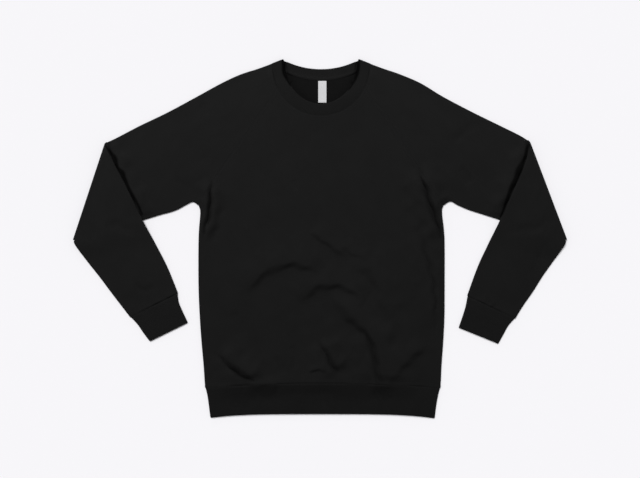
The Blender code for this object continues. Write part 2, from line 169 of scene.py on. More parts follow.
light_only(sun, [floor])
print("the lamps stand", [round((place - LAMP_TOWARDS).length, 2) for place, _, _ in LAMPS], "m away")

# %% [markdown]
# ## The sizes that the garment is cut and laid to
#
# All the pieces share one set of sizes, and each seam is one line that both its pieces use, so the pieces
# always meet. The tables hold the places of the edges, in millimetres, and smooth curves run through them.

# %% Cloth thickness, and how the layers lie
FLEECE = 2.4 * MM  # one wall of brushed fleece
RIB = 2.6 * MM  # a band of rib knit folded double
TUBE = 5.6 * MM  # height of a flattened tube at its edges
EDGE = TUBE / 2  # radius of the rounding along an edge
FOLD_GAP = 0.6 * MM  # between a sleeve and the forearm folded onto it
PUFF = 2.5 * MM  # how much further the upper layer stands up, once it is as far as this from the edges
PUFF_REACH = 70 * MM
FOLD_FADE = 60 * MM  # over this distance from an elbow fold or a cuff seam the layers are pressed flat
HEM_BLOUSE = 4.5 * MM  # the body hangs out over the tighter hem band, over this distance
BLOUSE_REACH = 60 * MM
NECK_STAND = 3.2 * MM  # the tight neckband lifts the front around it, over this distance
NECK_REACH = 30 * MM
SIDE_FADE = 60 * MM  # what lifts the hem fades out over this distance from the sides
EDGE_FADE = 14 * MM  # creases fade out over this distance from an edge
ELBOW_FADE = 16 * MM  # and over this one from an elbow fold
DROP = 55 * MM  # a forearm comes down to the table over this distance

# %% Neck, hem, body and sleeves
NECK_X = 0.2 * MM
NECK_OPEN = (76.2 * MM, 89.5 * MM, 365.0 * MM)  # half width, depth and height of an ellipse
NECK_SEAM = (100.5 * MM, 103.8 * MM, 355.8 * MM)
BACK_NECK_OPEN = 347.6 * MM  # how far up the middle of the back neck lies
BACK_NECK_SEAM = 324.3 * MM
NECK_CORNER = math.radians(62.8)  # where the raglan seams meet the neck seam: an angle at the front
BACK_NECK_CORNER = 0.66  # and a share of the half width at the back
HEM_SEAM_Y = -295.8 * MM  # the middle of the hem seam, and how much lower it is at the sides
HEM_SEAM_SINK = 10.5 * MM
HEM_EDGE_Y = -359.7 * MM
HEM_EDGE_SINK = 10.3 * MM
HEM_HALF = 242 * MM  # half the width of the hem
HEM_RISE = 1.0 * MM  # how much higher the middle of the band lies than its sides
HEM_STAND = 9.5 * MM  # the hem seam stands up, and the band comes down from it over this depth
HEM_DESCENT = 50 * MM
HEM_SHOULDER = 12 * MM  # the way down starts this far above the seam
HEM_LIES_AT = 205 * MM  # to the right of this the band lies flat
CUFF_TUCK = 1.6 * MM  # how much further in than the sleeve's edges a cuff's edges start
SIGN = {"left": -1, "right": 1}

SIDES = (  # height, left edge, right edge, from the underarm to the hem seam
    (68, -251.0, 251.5),
    (60, -248.0, 248.8),
    (48, -247.6, 249.0),
    (0, -250.9, 253.6),
    (-95, -251.1, 253.9),
    (-160, -248.5, 253.5),
    (-210, -245.1, 251.1),
    (-260, -240.7, 247.6),
    (-306.3, -237.6, 245.4),
)
HEM_SIDES = (  # the same columns, from the hem seam to the edge of the band
    (-306.3, -236.2, 243.8),
    (-324, -232.2, 239.6),
    (-345, -229.3, 236.0),
    (-368, -226.3, 233.2),
)
RAGLANS = {  # each from the underarm to just short of the neck seam
    ("front", "left"): ((-251, 68), (-229, 104), (-186, 169), (-150, 218), (-124, 258), (-99, 290)),
    ("front", "right"): ((251.5, 68), (229, 101), (188, 162), (156, 214), (130, 257), (101, 290)),
    ("back", "left"): ((-251, 68), (-214, 122), (-161, 198), (-106, 276)),
    ("back", "right"): ((251.5, 68), (215, 122), (163, 198), (108, 276)),
}
UPPER = {  # point on the shoulder edge, point on the underarm edge, from the armhole to the elbow fold
    "left": (
        ((-130.0, 348.0), (-262.6, 75.0)),
        ((-165.0, 336.6), (-276.0, 69.4)),
        ((-204.0, 318.6), (-299.0, 57.4)),
        ((-254.0, 291.2), (-331.0, 48.2)),
        ((-315.0, 258.4), (-370.0, 36.2)),
        ((-372.0, 231.0), (-415.0, 23.4)),
        ((-418.0, 207.0), (-462.0, 9.4)),
        ((-442.8, 195.4), (-508.4, -3.6)),
    ),
    "right": (
        ((131.0, 347.8), (265.6, 76.0)),
        ((163.0, 336.8), (280.5, 68.6)),
        ((205.0, 318.6), (303.0, 59.0)),
        ((250.0, 291.4), (334.0, 49.0)),
        ((308.0, 260.8), (371.0, 37.2)),
        ((363.0, 233.8), (415.0, 23.8)),
        ((408.0, 211.6), (462.0, 9.6)),
        ((428.8, 198.4), (505.0, -3.2)),
    ),
}
FORE = {  # the same columns, from the elbow fold to the cuff seam
    "left": (
        ((-425.5, 160.5), (-503.8, -12.0)),
        ((-397.5, 106.5), (-480.6, -45.2)),
        ((-365.4, 38.6), (-455.1, -77.5)),
        ((-338.7, -12.0), (-430.5, -110.3)),
        ((-315.4, -57.5), (-409.6, -137.6)),
        ((-292.9, -112.6), (-391.2, -161.6)),
    ),
    "right": (
        ((420.5, 163.0), (499.9, -12.0)),
        ((397.5, 107.5), (478.4, -44.2)),
        ((366.8, 38.6), (455.4, -76.6)),
        ((342.9, -12.0), (434.8, -109.4)),
        ((321.8, -57.5), (414.4, -138.6)),
        ((299.8, -117.6), (398.8, -164.2)),
    ),
}
CUFF = {  # the same columns, from the cuff seam to the edge of the cuff
    "left": (
        ((-292.0, -130.6), (-375.4, -176.6)),
        ((-283.6, -150.6), (-363.5, -194.0)),
        ((-273.3, -172.6), (-350.9, -210.8)),
    ),
    "right": (
        ((297.0, -140.0), (384.2, -178.8)),
        ((290.5, -160.9), (374.4, -196.4)),
        ((282.9, -182.9), (363.8, -215.6)),
    ),
}
print("chest", SIDES[0][2] - SIDES[0][1], "mm, length", round((NECK_SEAM[2] - HEM_EDGE_Y) / MM), "mm")

# %% [markdown]
# ## Creases
#
# Cloth that is smoothed out by hand keeps three kinds of crease. A fold stands up as a soft bank with one
# steep side, where the cloth starts to lie over itself. A crevice is the narrow gap between two banks that
# nearly meet, so they are also pushed together in the plan. A hollow is a shallow dent, soft on both sides.
# One could leave them to a cloth simulation, but a simulation never lays them where a hand did, so they are
# placed one by one.
#
# Deep between two layers the colour of the cloth is darkened as painted shade. The darkest places are a table
# as well, because a colour that is darkened there does what the shape of the gap alone can't.

# %% Tables of creases
FOLDS = (  # height, half the width of the steep side, width of the soft side, line; left of the line is high
    (7.4, 8.5, 34, ((-149, -124), (-133, -94), (-114, -75), (-90, -62), (-59, -55), (-27, -62), (8, -70))),
    (4.6, 5.5, 20, ((-26, 14), (8, -10), (27, -24), (50, -44))),
    (2.0, 4.5, 14, ((36, -8), (54, -26), (75, -36), (102, -44))),
    (7.2, 8.0, 28, ((-38, -138), (-8, -104), (30, -99), (54, -106), (92, -130))),
    (11.5, 10.0, 36, ((12, -114), (52, -158), (73, -176), (94, -194), (106, -216), (114, -242), (118, -276),
                      (120, -330))),
    (6.0, 10.0, 34, ((58, -44), (104, -80), (116, -112), (130, -175))),
    (6.6, 7.0, 26, ((132, -300), (151, -280), (173, -261), (222, -212))),
    (3.0, 2.6, 10, ((-26, -273), (-8, -270), (12, -272))),
)
CREVICES = (  # height of the left and the right bank, half width, how far they close, soft side, line
    (10.0, 10.0, 14.0, 0.06, 20, ((196, 154), (210, 112), (221, 78), (232, 47), (241, 22), (247, -14))),
    (8.0, 8.0, 9.5, 0.06, 14, ((-224, 128), (-227, 69), (-229, 50), (-234, 33), (-243, -6))),
    (8.5, 0.5, 13.0, 0.05, 16, ((-448, 204), (-430, 165), (-409, 122), (-388, 80), (-371, 44), (-361, 22))),
    (0.5, 8.5, 13.0, 0.05, 16, ((438, 204), (420, 164), (404, 122), (384, 80), (366, 40), (358, 22))),
    (5.0, 5.0, 11.0, 0.05, 16, ((197, 28), (208, -8), (220, -51), (231, -93), (236, -150), (236, -200))),
    (10.0, 4.5, 14.0, 0.08, 22, ((-219, -227), (-195, -255), (-169, -276), (-142, -290), (-120, -298))),
    (8.5, 5.0, 13.0, 0.05, 18, ((-6, -206), (11, -239), (24, -261), (40, -280))),
    (8.5, 7.5, 18.0, 0.05, 22, ((84, -176), (103, -216), (111, -242), (116, -276), (119, -340))),
)
PAINTED_SHADE_LINES = (  # how dark the painted shade is, and a line of places, each with half the width of that shade there
    (0.98, ((-440, 190, 1.6), (-431, 177, 3.2), (-421, 164, 5.4), (-418, 154, 4.2), (-414, 144, 3.0),
            (-405, 134, 5.4), (-402, 125, 4.6), (-397, 115, 3.6), (-393, 105, 3.4), (-383, 86, 3.2),
            (-373, 67, 3.4), (-366, 50, 2.2))),
    (0.88, ((427, 196, 2.8), (421, 182, 3.6), (417, 166, 3.2), (412, 155, 4.4), (404, 140, 6.8),
            (399, 124, 5.8), (391, 108, 4.8), (383, 88, 3.8), (377.5, 69, 3.4), (372, 53, 2.4),
            (368, 44, 1.6))),
    (0.35, ((209, 118, 3), (221, 78, 7), (232, 47, 8), (240, 24, 7), (245, 4, 3))),
    (0.50, ((-226, 94, 3), (-228, 66, 5), (-229, 44, 5), (-231, 30, 2))),
    (0.30, ((-232, 50, 2), (-237, 34, 4), (-241, 14, 4))),
    (0.40, ((-190, -252, 3), (-172, -269, 8), (-156, -280, 8), (-138, -289, 3))),
    (0.30, ((12, -238, 3), (20, -252, 7), (30, -268, 8))),
    (0.22, ((94, -198, 4), (105, -222, 9), (113, -255, 8), (118, -292, 8))),
    (0.97, ((-78, 368, 2.8), (-76.5, 350, 3.8), (-75.5, 338, 3.4), (-69, 325, 2.8), (-61, 311, 0.8))),
    (0.97, ((77.5, 368, 2.6), (77, 352, 3.4), (74.5, 340, 4.2), (71, 329, 3.6), (64, 315, 2.4),
            (56, 303, 0.6))),
)
HOLLOWS = (  # height, half width, line
    (-2.2, 8, ((-201, 76), (-212, 20), (-230, -16))),
    (-2.0, 7, ((-58, -216), (-54, -245), (-52, -272))),
    (-1.8, 9, ((-96, -238), (-84, -261), (-80, -280))),
    (-1.0, 6, ((-57, 120), (-52, 107), (-50, 97))),
    (-1.6, 12, ((-44, -100), (-38, -150), (-37, -205))),
    (-2.0, 13, ((-182, -146), (-168, -180), (-160, -210))),
    (2.0, 34, ((10, -150), (44, -190), (62, -250))),
    (-1.5, 9, ((-300, 124), (-284, 112), (-266, 98))),
    (-1.0, 8, ((-252, 276), (-240, 267), (-230, 252))),
    (-2.2, 10, ((266, 198), (290, 215), (322, 240))),
    (-1.8, 9, ((282, 148), (296, 128), (312, 110))),
)
FOREARM_HOLLOWS = {  # the same columns
    "left": (
        (-2.4, 10, ((-442, 36), (-405, 22), (-358, 14))),
        (-1.8, 12, ((-494, 44), (-480, 15), (-463, -12))),
        (-1.6, 7, ((-386, -93), (-360, -106), (-334, -99))),
    ),
    "right": (
        (-2.6, 10, ((370, 30), (410, 18), (466, 28))),
        (-1.8, 10, ((446, 102), (458, 60), (467, 16))),
        (-1.8, 12, ((463, 6), (450, -40), (430, -84))),
    ),
}
hollow_count = len(HOLLOWS) + sum(len(rows) for rows in FOREARM_HOLLOWS.values())
print(len(FOLDS), "folds,", len(CREVICES), "crevices and", hollow_count, "hollows")


# %% Curves in the plane
def smooth(x):
    """0 below 0, 1 above 1, and an even slope between."""
    x = np.clip(x, 0, 1)
    return x * x * (3 - 2 * x)


def bell(x):
    """1 at 0, and softly down to nearly 0 at 2 on either side."""
    return np.exp(-(x**2))


def unit(vectors):
    """Each vector made 1 long."""
    return vectors / np.linalg.norm(vectors, axis=-1, keepdims=True)


def through(points, at):
    """A smooth line through the points, read at each of `at`, where 0 is the first point and 1 the second."""
    p = np.array(points, float)
    p = np.vstack([2 * p[0] - p[1], p, 2 * p[-1] - p[-2]])
    i = np.clip(np.asarray(at).astype(int), 0, len(p) - 4)
    t = (at - i)[:, None]
    a, b, c, d = p[i], p[i + 1], p[i + 2], p[i + 3]
    return b + 0.5 * t * (c - a + t * (2 * a - 5 * b + 4 * c - d + t * (3 * (b - c) + d - a)))


def fine(points, pieces=8):
    """A smooth line through the points, as a chain of short straight pieces."""
    spans = len(points) - 1
    return through(points, np.linspace(0, spans, spans * pieces + 1))


def run_of(line):
    """The length of a chain of straight pieces up to each of its points."""
    return np.concatenate([[0], np.cumsum(np.linalg.norm(np.diff(line, axis=0), axis=1))])


def at_place(line, place):
    """Points of a chain of straight pieces, at each length from its start."""
    return np.stack([np.interp(place, run_of(line), line[:, k]) for k in range(2)], axis=1)


def along(line, share):
    """Points of a chain of straight pieces, at each share of its length."""
    return at_place(line, share * run_of(line)[-1])


def to_the_left(line, amount):
    """The line moved to its left-hand side."""
    run = unit(np.gradient(line, axis=0))
    return line + amount * np.stack([-run[:, 1], run[:, 0]], axis=1)


def nearest(points, line):
    """For each point, how far the line is, on which side the point lies (1 is left), and the nearest place
    on the line, as the length up to it."""
    best, side, place = np.full(len(points), np.inf), np.zeros(len(points)), np.zeros(len(points))
    for start, run, before in zip(line[:-1], np.diff(line, axis=0), run_of(line)):
        offset = points - start
        share = np.clip(offset @ run / (run @ run), 0, 1)
        away = np.linalg.norm(offset - share[:, None] * run, axis=1)
        closer = away < best
        best = np.where(closer, away, best)
        side = np.where(closer, np.sign(run[0] * offset[:, 1] - run[1] * offset[:, 0]), side)
        place = np.where(closer, before + share * math.hypot(*run), place)
    return best, side, place


def distance(points, lines):
    """How far each point is from the nearest of the lines."""
    return np.min([nearest(points, line)[0] for line in lines], axis=0)


# %% Seams and outline
def neck_arc(ellipse, angle):
    """The front of the neck. The angle is 0 at the middle of the front and a right angle at a shoulder."""
    half, depth, height = ellipse
    return np.stack([NECK_X + half * np.sin(angle), height - depth * np.cos(angle)], axis=1)


def back_arc(ellipse, middle, share):
    """The back of the neck. The share is -1 at the left shoulder and 1 at the right one."""
    return np.stack([NECK_X + share * ellipse[0], middle + (ellipse[2] - middle) * share**2], axis=1)


def shoulder(side):
    """The end of the neck seam at a shoulder, and the direction in which the band folds over there."""
    run = unit(np.array([NECK_SEAM[0] - NECK_OPEN[0], NECK_SEAM[2] - NECK_OPEN[2]]))
    end = np.array([NECK_X + SIGN[side] * NECK_SEAM[0], NECK_SEAM[2]])
    return end, np.array([-SIGN[side] * run[1], run[0]])


def raglan_line(face, side):
    """A raglan seam of the front or the back, from the underarm up to the neck seam."""
    if face == "front":
        corner = neck_arc(NECK_SEAM, np.array([SIGN[side] * NECK_CORNER]))
    else:
        corner = back_arc(NECK_SEAM, BACK_NECK_SEAM, np.array([SIGN[side] * BACK_NECK_CORNER]))
    return np.vstack([fine(RAGLANS[face, side]) * MM, corner])


def side_edge(column):
    """An edge of the body from the hem seam up to the underarm; column 1 is left and 2 is right."""
    return fine([(row[column] * MM, row[0] * MM) for row in reversed(SIDES)])


def sleeve_edge(side, column):
    """An edge of the upper sleeve, from the armhole to the elbow fold."""
    end, over = shoulder(side)
    start = (end + over * EDGE) / MM if column == 0 else RAGLANS["front", side][0]
    return fine([start] + [row[column] for row in UPPER[side]]) * MM


def hem_line(x, middle, sink, power):
    """A line across the hem that sinks towards the sides. A higher power keeps it straight for longer."""
    return np.stack([x, middle - sink * np.abs(x / HEM_HALF) ** power], axis=1)


HEM_X = np.linspace(SIDES[-1][1], SIDES[-1][2], 25) * MM
HEM_SEAM = hem_line(HEM_X, HEM_SEAM_Y, HEM_SEAM_SINK, 2)
FRONT_NECK = neck_arc(NECK_SEAM, np.linspace(-math.pi / 2, math.pi / 2, 41))
OUTLINE = [side_edge(1), side_edge(2)] + [sleeve_edge(side, column) for side in SIGN for column in (0, 1)]
ELBOWS = [np.array(UPPER[side][-1]) * MM for side in SIGN]
FRONT_SEAMS = [raglan_line("front", "left"), raglan_line("front", "right"), FRONT_NECK, HEM_SEAM]
print("raglan seam", round(run_of(FRONT_SEAMS[0])[-1] / MM), "mm, front neck seam",
      round(run_of(FRONT_NECK)[-1] / MM), "mm, hem seam", round(run_of(HEM_SEAM)[-1] / MM), "mm")

# %% [markdown]
# ## How high the cloth lies
#
# The plan says where each point of the cloth is, seen from above. Its height comes from a few sums: the
# rounding at the edges, a little air between the layers, the creases, the long waves that are left in any
# cloth, and the groove that a seam pulls. Front and sleeves use the same sums, so a crease runs on across a
# seam as it does in the real garment.

# %% The shape of folds, crevices, hollows and waves
WANDER = 1.6 * MM  # a crease isn't as even as a drawn line: how far it wanders, and how much its width varies
UNEVEN = 0.08
CREASE_ENDS = 0.26  # share of a crease over which it fades at each end
CREVICE_DEPTH = 0.8 * MM  # below the cloth around it
ROUNDING = 2  # how much steeper the banks of a crevice get towards its bottom
UNDERCUT = 0.12  # how deep the cloth dips at the foot of a fold, as a share of the fold's height
WAVE = 0.45 * MM


def beside(points, line, reach):
    """Which points are near a crease, how far each is from its line, on which side, and at which place along
    it, and how strong the crease is there."""
    near = np.all((points > line.min(0) - reach) & (points < line.max(0) + reach), axis=1)
    x, y = points[near].T
    bent = points[near] + WANDER * np.stack([np.sin(170 * y + 90 * x), np.sin(150 * x - 110 * y + 1)], axis=1)
    away, side, place = nearest(bent, line)
    share = place / run_of(line)[-1]
    strength = smooth(share / CREASE_ENDS) * smooth((1 - share) / CREASE_ENDS)
    return near, away * (1 + UNEVEN * np.sin(140 * place + 40 * x)), side, place, strength


def fold_bank(points, row):
    """A bank with a steep side on the line itself, a soft side to its left and a dip at its foot."""
    height, steep, soft = (value * MM for value in row[:3])
    near, away, side, _, strength = beside(points, fine(row[3]) * MM, 3 * soft)
    left = away * side
    bank = smooth((left + steep) / (2 * steep)) * bell(np.maximum(left - steep, 0) / soft)
    dip = UNDERCUT * bell((left + 2 * steep) / (1.5 * steep))
    up = np.zeros(len(points))
    up[near] = height * strength * (bank - dip)
    return up


def crevice(points, row):
    """A narrow trough between two banks, where the cloth is pushed up into folds that nearly meet."""
    left_bank, right_bank, half, _, soft = (value * MM for value in row[:5])
    near, away, side, _, strength = beside(points, fine(row[5]) * MM, half + 3 * soft)
    bank = 1 - np.maximum(1 - away / half, 0) ** ROUNDING
    bank *= bell(np.maximum(away - half, 0) / soft)
    height = np.where(side > 0, left_bank, right_bank)
    up = np.zeros(len(points))
    up[near] = strength * (height * bank - CREVICE_DEPTH * bell(2 * away / half))
    return up


def closing(points, away):
    """How far the banks of the crevices are pushed towards each other in the plan."""
    shift = np.zeros_like(points)
    for row in CREVICES:
        half, closes, line = row[2] * MM, row[3], fine(row[5]) * MM
        near, apart, _, place, strength = beside(points, line, 4 * half)
        towards = (at_place(line, place) - points[near]) / np.maximum(apart, 0.01 * MM)[:, None]
        share = apart / half
        shift[near] += towards * (closes * half * strength * share * np.exp(1 - share))[:, None]
    return shift * (smooth(away / EDGE_FADE) * smooth(distance(points, ELBOWS) / ELBOW_FADE))[:, None]


def hollow(points, row):
    """A dent, or with a positive height a swelling, of the same softness on both sides."""
    height, half_width = (value * MM for value in row[:2])
    near, away, _, _, strength = beside(points, fine(row[2]) * MM, 3 * half_width)
    up = np.zeros(len(points))
    up[near] = height * strength * bell(away / half_width)
    return up


def waves(points):
    """Long shallow waves, 90 to 200 mm from crest to crest."""
    x, y = points.T
    slow = np.sin(38 * x + 1.9 * np.sin(21 * y)) * np.sin(33 * y - 1.3 * np.sin(17 * x + 1))
    quick = np.sin(67 * y + 1.4 * np.sin(29 * x + 2)) * np.sin(52 * x + 1.1 * np.sin(41 * y))
    return WAVE * (slow + 0.6 * quick)


# %% Grooves and gathers at the seams
SEAM_GROOVE = 1.5 * MM  # half width of the groove on a seam
SEAM_LIP = (0.12 * MM, 4.0 * MM, 2.2 * MM)  # the allowance below lifts the cloth: height, place, half width
THREAD_PULL = (0.18 * MM, 7.0 * MM, 1.1 * MM)  # outer stitches pull it in: depth, place, half width
DEEP, SHALLOW, FAINT = 1.0 * MM, 0.2 * MM, 0.05 * MM  # a groove's depth at hem and cuffs, raglans, neck


def groove(away, depth, stitched):
    """How much lower than the cloth around it the cloth lies at some distance from a seam."""
    height, place, half = SEAM_LIP
    low = depth * bell(away / SEAM_GROOVE) - height * bell((away - place) / half)
    if stitched:
        pull, place, half = THREAD_PULL
        low += pull * bell((away - place) / half)
    return low


PUCKER_PLACE = (0.2, 0.8)  # where a gather is in its share of the seam
PUCKER_START = 3 * MM  # it rises over this distance from the seam
PUCKER_WIDTH = (3.5, 8)  # half widths in mm
PUCKER_LENGTH, PUCKER_HEIGHT = (0.35, 1), (0.3, 1)  # shares of the longest and of the tallest
PUCKER_LEAN = 0.35
HEM_PUCKERS = {"count": 17, "seed": 4, "longest": 34 * MM, "tallest": 1.5 * MM}


def puckers(points, line, count, seed, longest, tallest):
    """Small uneven gathers that run off a seam where the cloth is eased into a tighter band."""
    random = np.random.default_rng(seed)
    away, _, place = nearest(points, line)
    whole = run_of(line)[-1]
    up = np.zeros(len(points))
    for middle in (np.arange(count) + random.uniform(*PUCKER_PLACE, count)) / count * whole:
        width = random.uniform(*PUCKER_WIDTH) * MM
        length = random.uniform(*PUCKER_LENGTH) * longest
        height = random.uniform(*PUCKER_HEIGHT) * tallest
        lean = random.uniform(-PUCKER_LEAN, PUCKER_LEAN)
        off = place - middle - lean * away
        up += height * bell(off / width) * smooth(away / PUCKER_START) * bell(away / length)
    return up


# %% How high the upper layer lies
CREASES = ((fold_bank, FOLDS), (crevice, CREVICES), (hollow, HOLLOWS))
HELD_BACK = 8 * MM  # where creases meet, a height over this is held back, so that it stays under TALLEST
TALLEST = 13 * MM
LOWEST = 0.1 * MM - (TUBE - 2 * FLEECE)  # the insides of the two layers come as near as 0.1 mm


def standing(x):
    """How fully the hem seam stands up at each place along it."""
    return smooth((x - SIDES[-1][1] * MM) / SIDE_FADE) * smooth((HEM_LIES_AT - x) / SIDE_FADE)


def rise(points, away, creases=CREASES):
    """How much higher than at its edges the upper layer of the body and upper sleeves lies."""
    up = sum(shape(points, row) for shape, rows in creases for row in rows)
    room = TALLEST - HELD_BACK
    up = np.minimum(up, HELD_BACK) + room * np.tanh(np.maximum(up - HELD_BACK, 0) / room)
    up += waves(points)
    up += puckers(points, HEM_SEAM, **HEM_PUCKERS)
    from_fold = distance(points, ELBOWS)
    up *= smooth(from_fold / ELBOW_FADE)
    up += PUFF * smooth(away / PUFF_REACH) * smooth(from_fold / FOLD_FADE)
    up += NECK_STAND * bell(distance(points, [FRONT_NECK]) / NECK_REACH) * smooth(away / NECK_REACH)
    blouse = bell(distance(points, [HEM_SEAM]) / BLOUSE_REACH) * standing(points[:, 0])
    up += HEM_BLOUSE * blouse * smooth(away / SIDE_FADE) * (points[:, 1] < 0)
    return np.maximum(up * smooth(away / EDGE_FADE), LOWEST)


# %% Laying a net of points as one layer of a flattened tube
ROUND = EDGE * (1 - np.cos(np.linspace(0, math.pi / 2, 6)))  # distances from an edge that follow its rounding


def lay(net, away, up, lift, dip):
    """The outer and the inner face of a layer; up is 1 for the upper layer and -1 for the lower one. Rows run
    from edge to edge of the tube, and near an edge the cloth turns round the middle height."""
    near = 1 - np.clip(away / EDGE, 0, 1)
    turn = np.sqrt(1 - near**2)
    inward = unit(np.gradient(net, axis=1))
    inward[:, net.shape[1] // 2 :] *= -1
    faces = []
    for radius in (EDGE - dip, np.full_like(dip, EDGE - FLEECE)):
        plan = net + inward * ((EDGE - radius) * near)[..., None]
        faces.append(np.dstack([plan, EDGE + up * radius * turn + lift]))
    return faces


def ring(first, second):
    """Closed rows, there along the first layer and back along the second."""
    ends = (first[:, [0, -1]] + second[:, [0, -1]]) / 2
    return np.concatenate([ends[:, :1], first[:, 1:-1], ends[:, 1:], second[:, -2:0:-1]], axis=1)


# %% [markdown]
# ## Skins
#
# A piece of cloth is a closed skin: the face, the brushed inside, and the raw edges that the seams hide. Its
# UV map is the flat cloth itself, in metres, so the knit follows the grain wherever the cloth turns. The
# inside shows less, so it has every second point of the outside in each direction.

# %% Making a skin from nets
SHARP_RIM = math.radians(50)  # an edge that turns more than this is shaded sharp
SHARP_RIB = math.radians(60)  # the same on a band, whose ribs turn more


def numbered(net):
    """The number of each point of a net, row by row."""
    return np.arange(net[..., 0].size).reshape(net.shape[:2])


def corners(number):
    """The four corners of each face of a net, from the numbers of its points."""
    four = number[:-1, :-1], number[:-1, 1:], number[1:, 1:], number[1:, :-1]
    return np.stack(four, axis=-1).reshape(-1, 4)


def painted_crease_shade(points):
    """How dark the painted shade is at each place that lies deep between two layers; 0 on the underside."""
    plan, above_table = points[:, :2], smooth(points[:, 2] / MM - 1)
    dark = np.zeros(len(plan))
    for strength, row in PAINTED_SHADE_LINES:
        line = fine(row) * MM
        away, _, place = nearest(plan, line[:, :2])
        half = np.interp(place, run_of(line[:, :2]), line[:, 2])
        dark = np.maximum(dark, strength * np.exp(-((away / half) ** 4)))
    return dark * above_table


def outward_piece(name, mesh):
    """Puts the mesh into the scene as a piece, and points all its faces outwards."""
    piece = bpy.data.objects.new(name, mesh)
    bpy.context.collection.objects.link(piece)
    bpy.ops.object.select_all(action="DESELECT")
    bpy.context.view_layer.objects.active = piece
    piece.select_set(True)
    bpy.ops.object.mode_set(mode="EDIT")
    bpy.ops.mesh.select_all(action="SELECT")
    bpy.ops.mesh.normals_make_consistent(inside=False)
    bpy.ops.object.mode_set(mode="OBJECT")
    return piece


def finish_skin(name, points, faces, corner_uv, materials, inside_faces, sharp):
    """Makes a piece of cloth and shades it smooth, apart from its sharp rims."""
    mesh = bpy.data.meshes.new(name)
    mesh.from_pydata(points.tolist(), [], [face.tolist() for face in faces])
    mesh.uv_layers.new(name="cloth").data.foreach_set("uv", corner_uv.ravel())
    # painted shade: how dark the colour is painted at each point that lies deep in a crease
    mesh.attributes.new("painted_crease_shade", "FLOAT", "POINT").data.foreach_set("value", painted_crease_shade(points))
    for material in materials:
        mesh.materials.append(material)
    if inside_faces is not None:
        mesh.polygons.foreach_set("material_index", inside_faces)
    piece = outward_piece(name, mesh)
    bpy.ops.object.shade_smooth_by_angle(angle=sharp)
    print(f"{name}: {len(mesh.polygons)} faces, {points[:, 2].max() / MM:.1f} mm high at most")
    return piece


def two_faced_skin(name, outer, inner, uv, tube, materials):
    """A skin with an outer and an inner net and a rim along every open side. A tube's rows are closed."""
    inner, inner_uv = inner[::2, ::2], uv[::2, ::2]
    number = numbered(outer)
    twin = number.size + numbered(inner)
    if tube:
        number, twin = np.hstack([number, number[:, :1]]), np.hstack([twin, twin[:, :1]])
    rims = [(number[0], twin[0]), (number[-1], twin[-1])]
    if not tube:
        rims += [(number[:, 0], twin[:, 0]), (number[:, -1], twin[:, -1])]
    outside = corners(number)
    faces = [*outside, *corners(twin)]
    for far, near in rims:
        faces += [*np.stack([far[:-2:2], far[1:-1:2], far[2::2], near[1:], near[:-1]], axis=-1)]
    inside = [0] * len(outside) + [1] * (len(faces) - len(outside))
    points = np.concatenate([outer.reshape(-1, 3), inner.reshape(-1, 3)])
    point_uv = np.concatenate([uv.reshape(-1, 2), inner_uv.reshape(-1, 2)])
    return finish_skin(name, points, faces, point_uv[np.concatenate(faces)], materials, inside, SHARP_RIM)


# %% [markdown]
# ## Fleece, rib, thread and tape
#
# Black cotton fleece has a smooth knitted face and an inside that is brushed until its loops are a soft nap.
# Both swallow light, and what little comes back is scattered, so their roughness is near 1 and there is
# hardly any gloss. The knit could be a picture, but a few nodes draw its loops sharp at any distance.

# %% Painted shade: cloth deep in a crease gets a darkened colour
# the colour of the painted shade deep in the creases
PAINTED_SHADE_COLOUR = "#020202"


def paint_crease_shade(tree, colour):
    """The colour, darkened with painted shade where the cloth lies deep in a crease."""
    deep = add_node(tree, "ShaderNodeAttribute", attribute_name="painted_crease_shade")
    mixed = add_node(tree, "ShaderNodeMix", {"Factor": deep.outputs["Fac"]}, data_type="RGBA")
    tree.links.new(colour, mixed.inputs["A"])
    mixed.inputs["B"].default_value = linear(PAINTED_SHADE_COLOUR)
    return mixed.outputs["Result"]


# %% Knitted cotton
LEG_SLANT = 1.4  # how steeply the two legs of a loop rise
LEG_RELIEF = 2.2  # how far the round of a leg stands out, where the step between two loops is 0.5
FUZZ_RELIEF = 1.1  # and how far the fuzz does
PAINTED_LOOP_SHADE = 0.3  # how much of that relief is painted into the colour as shade in the grooves between loops, beside the worn patches
PATCHES = 45 * MM  # the size of such a patch


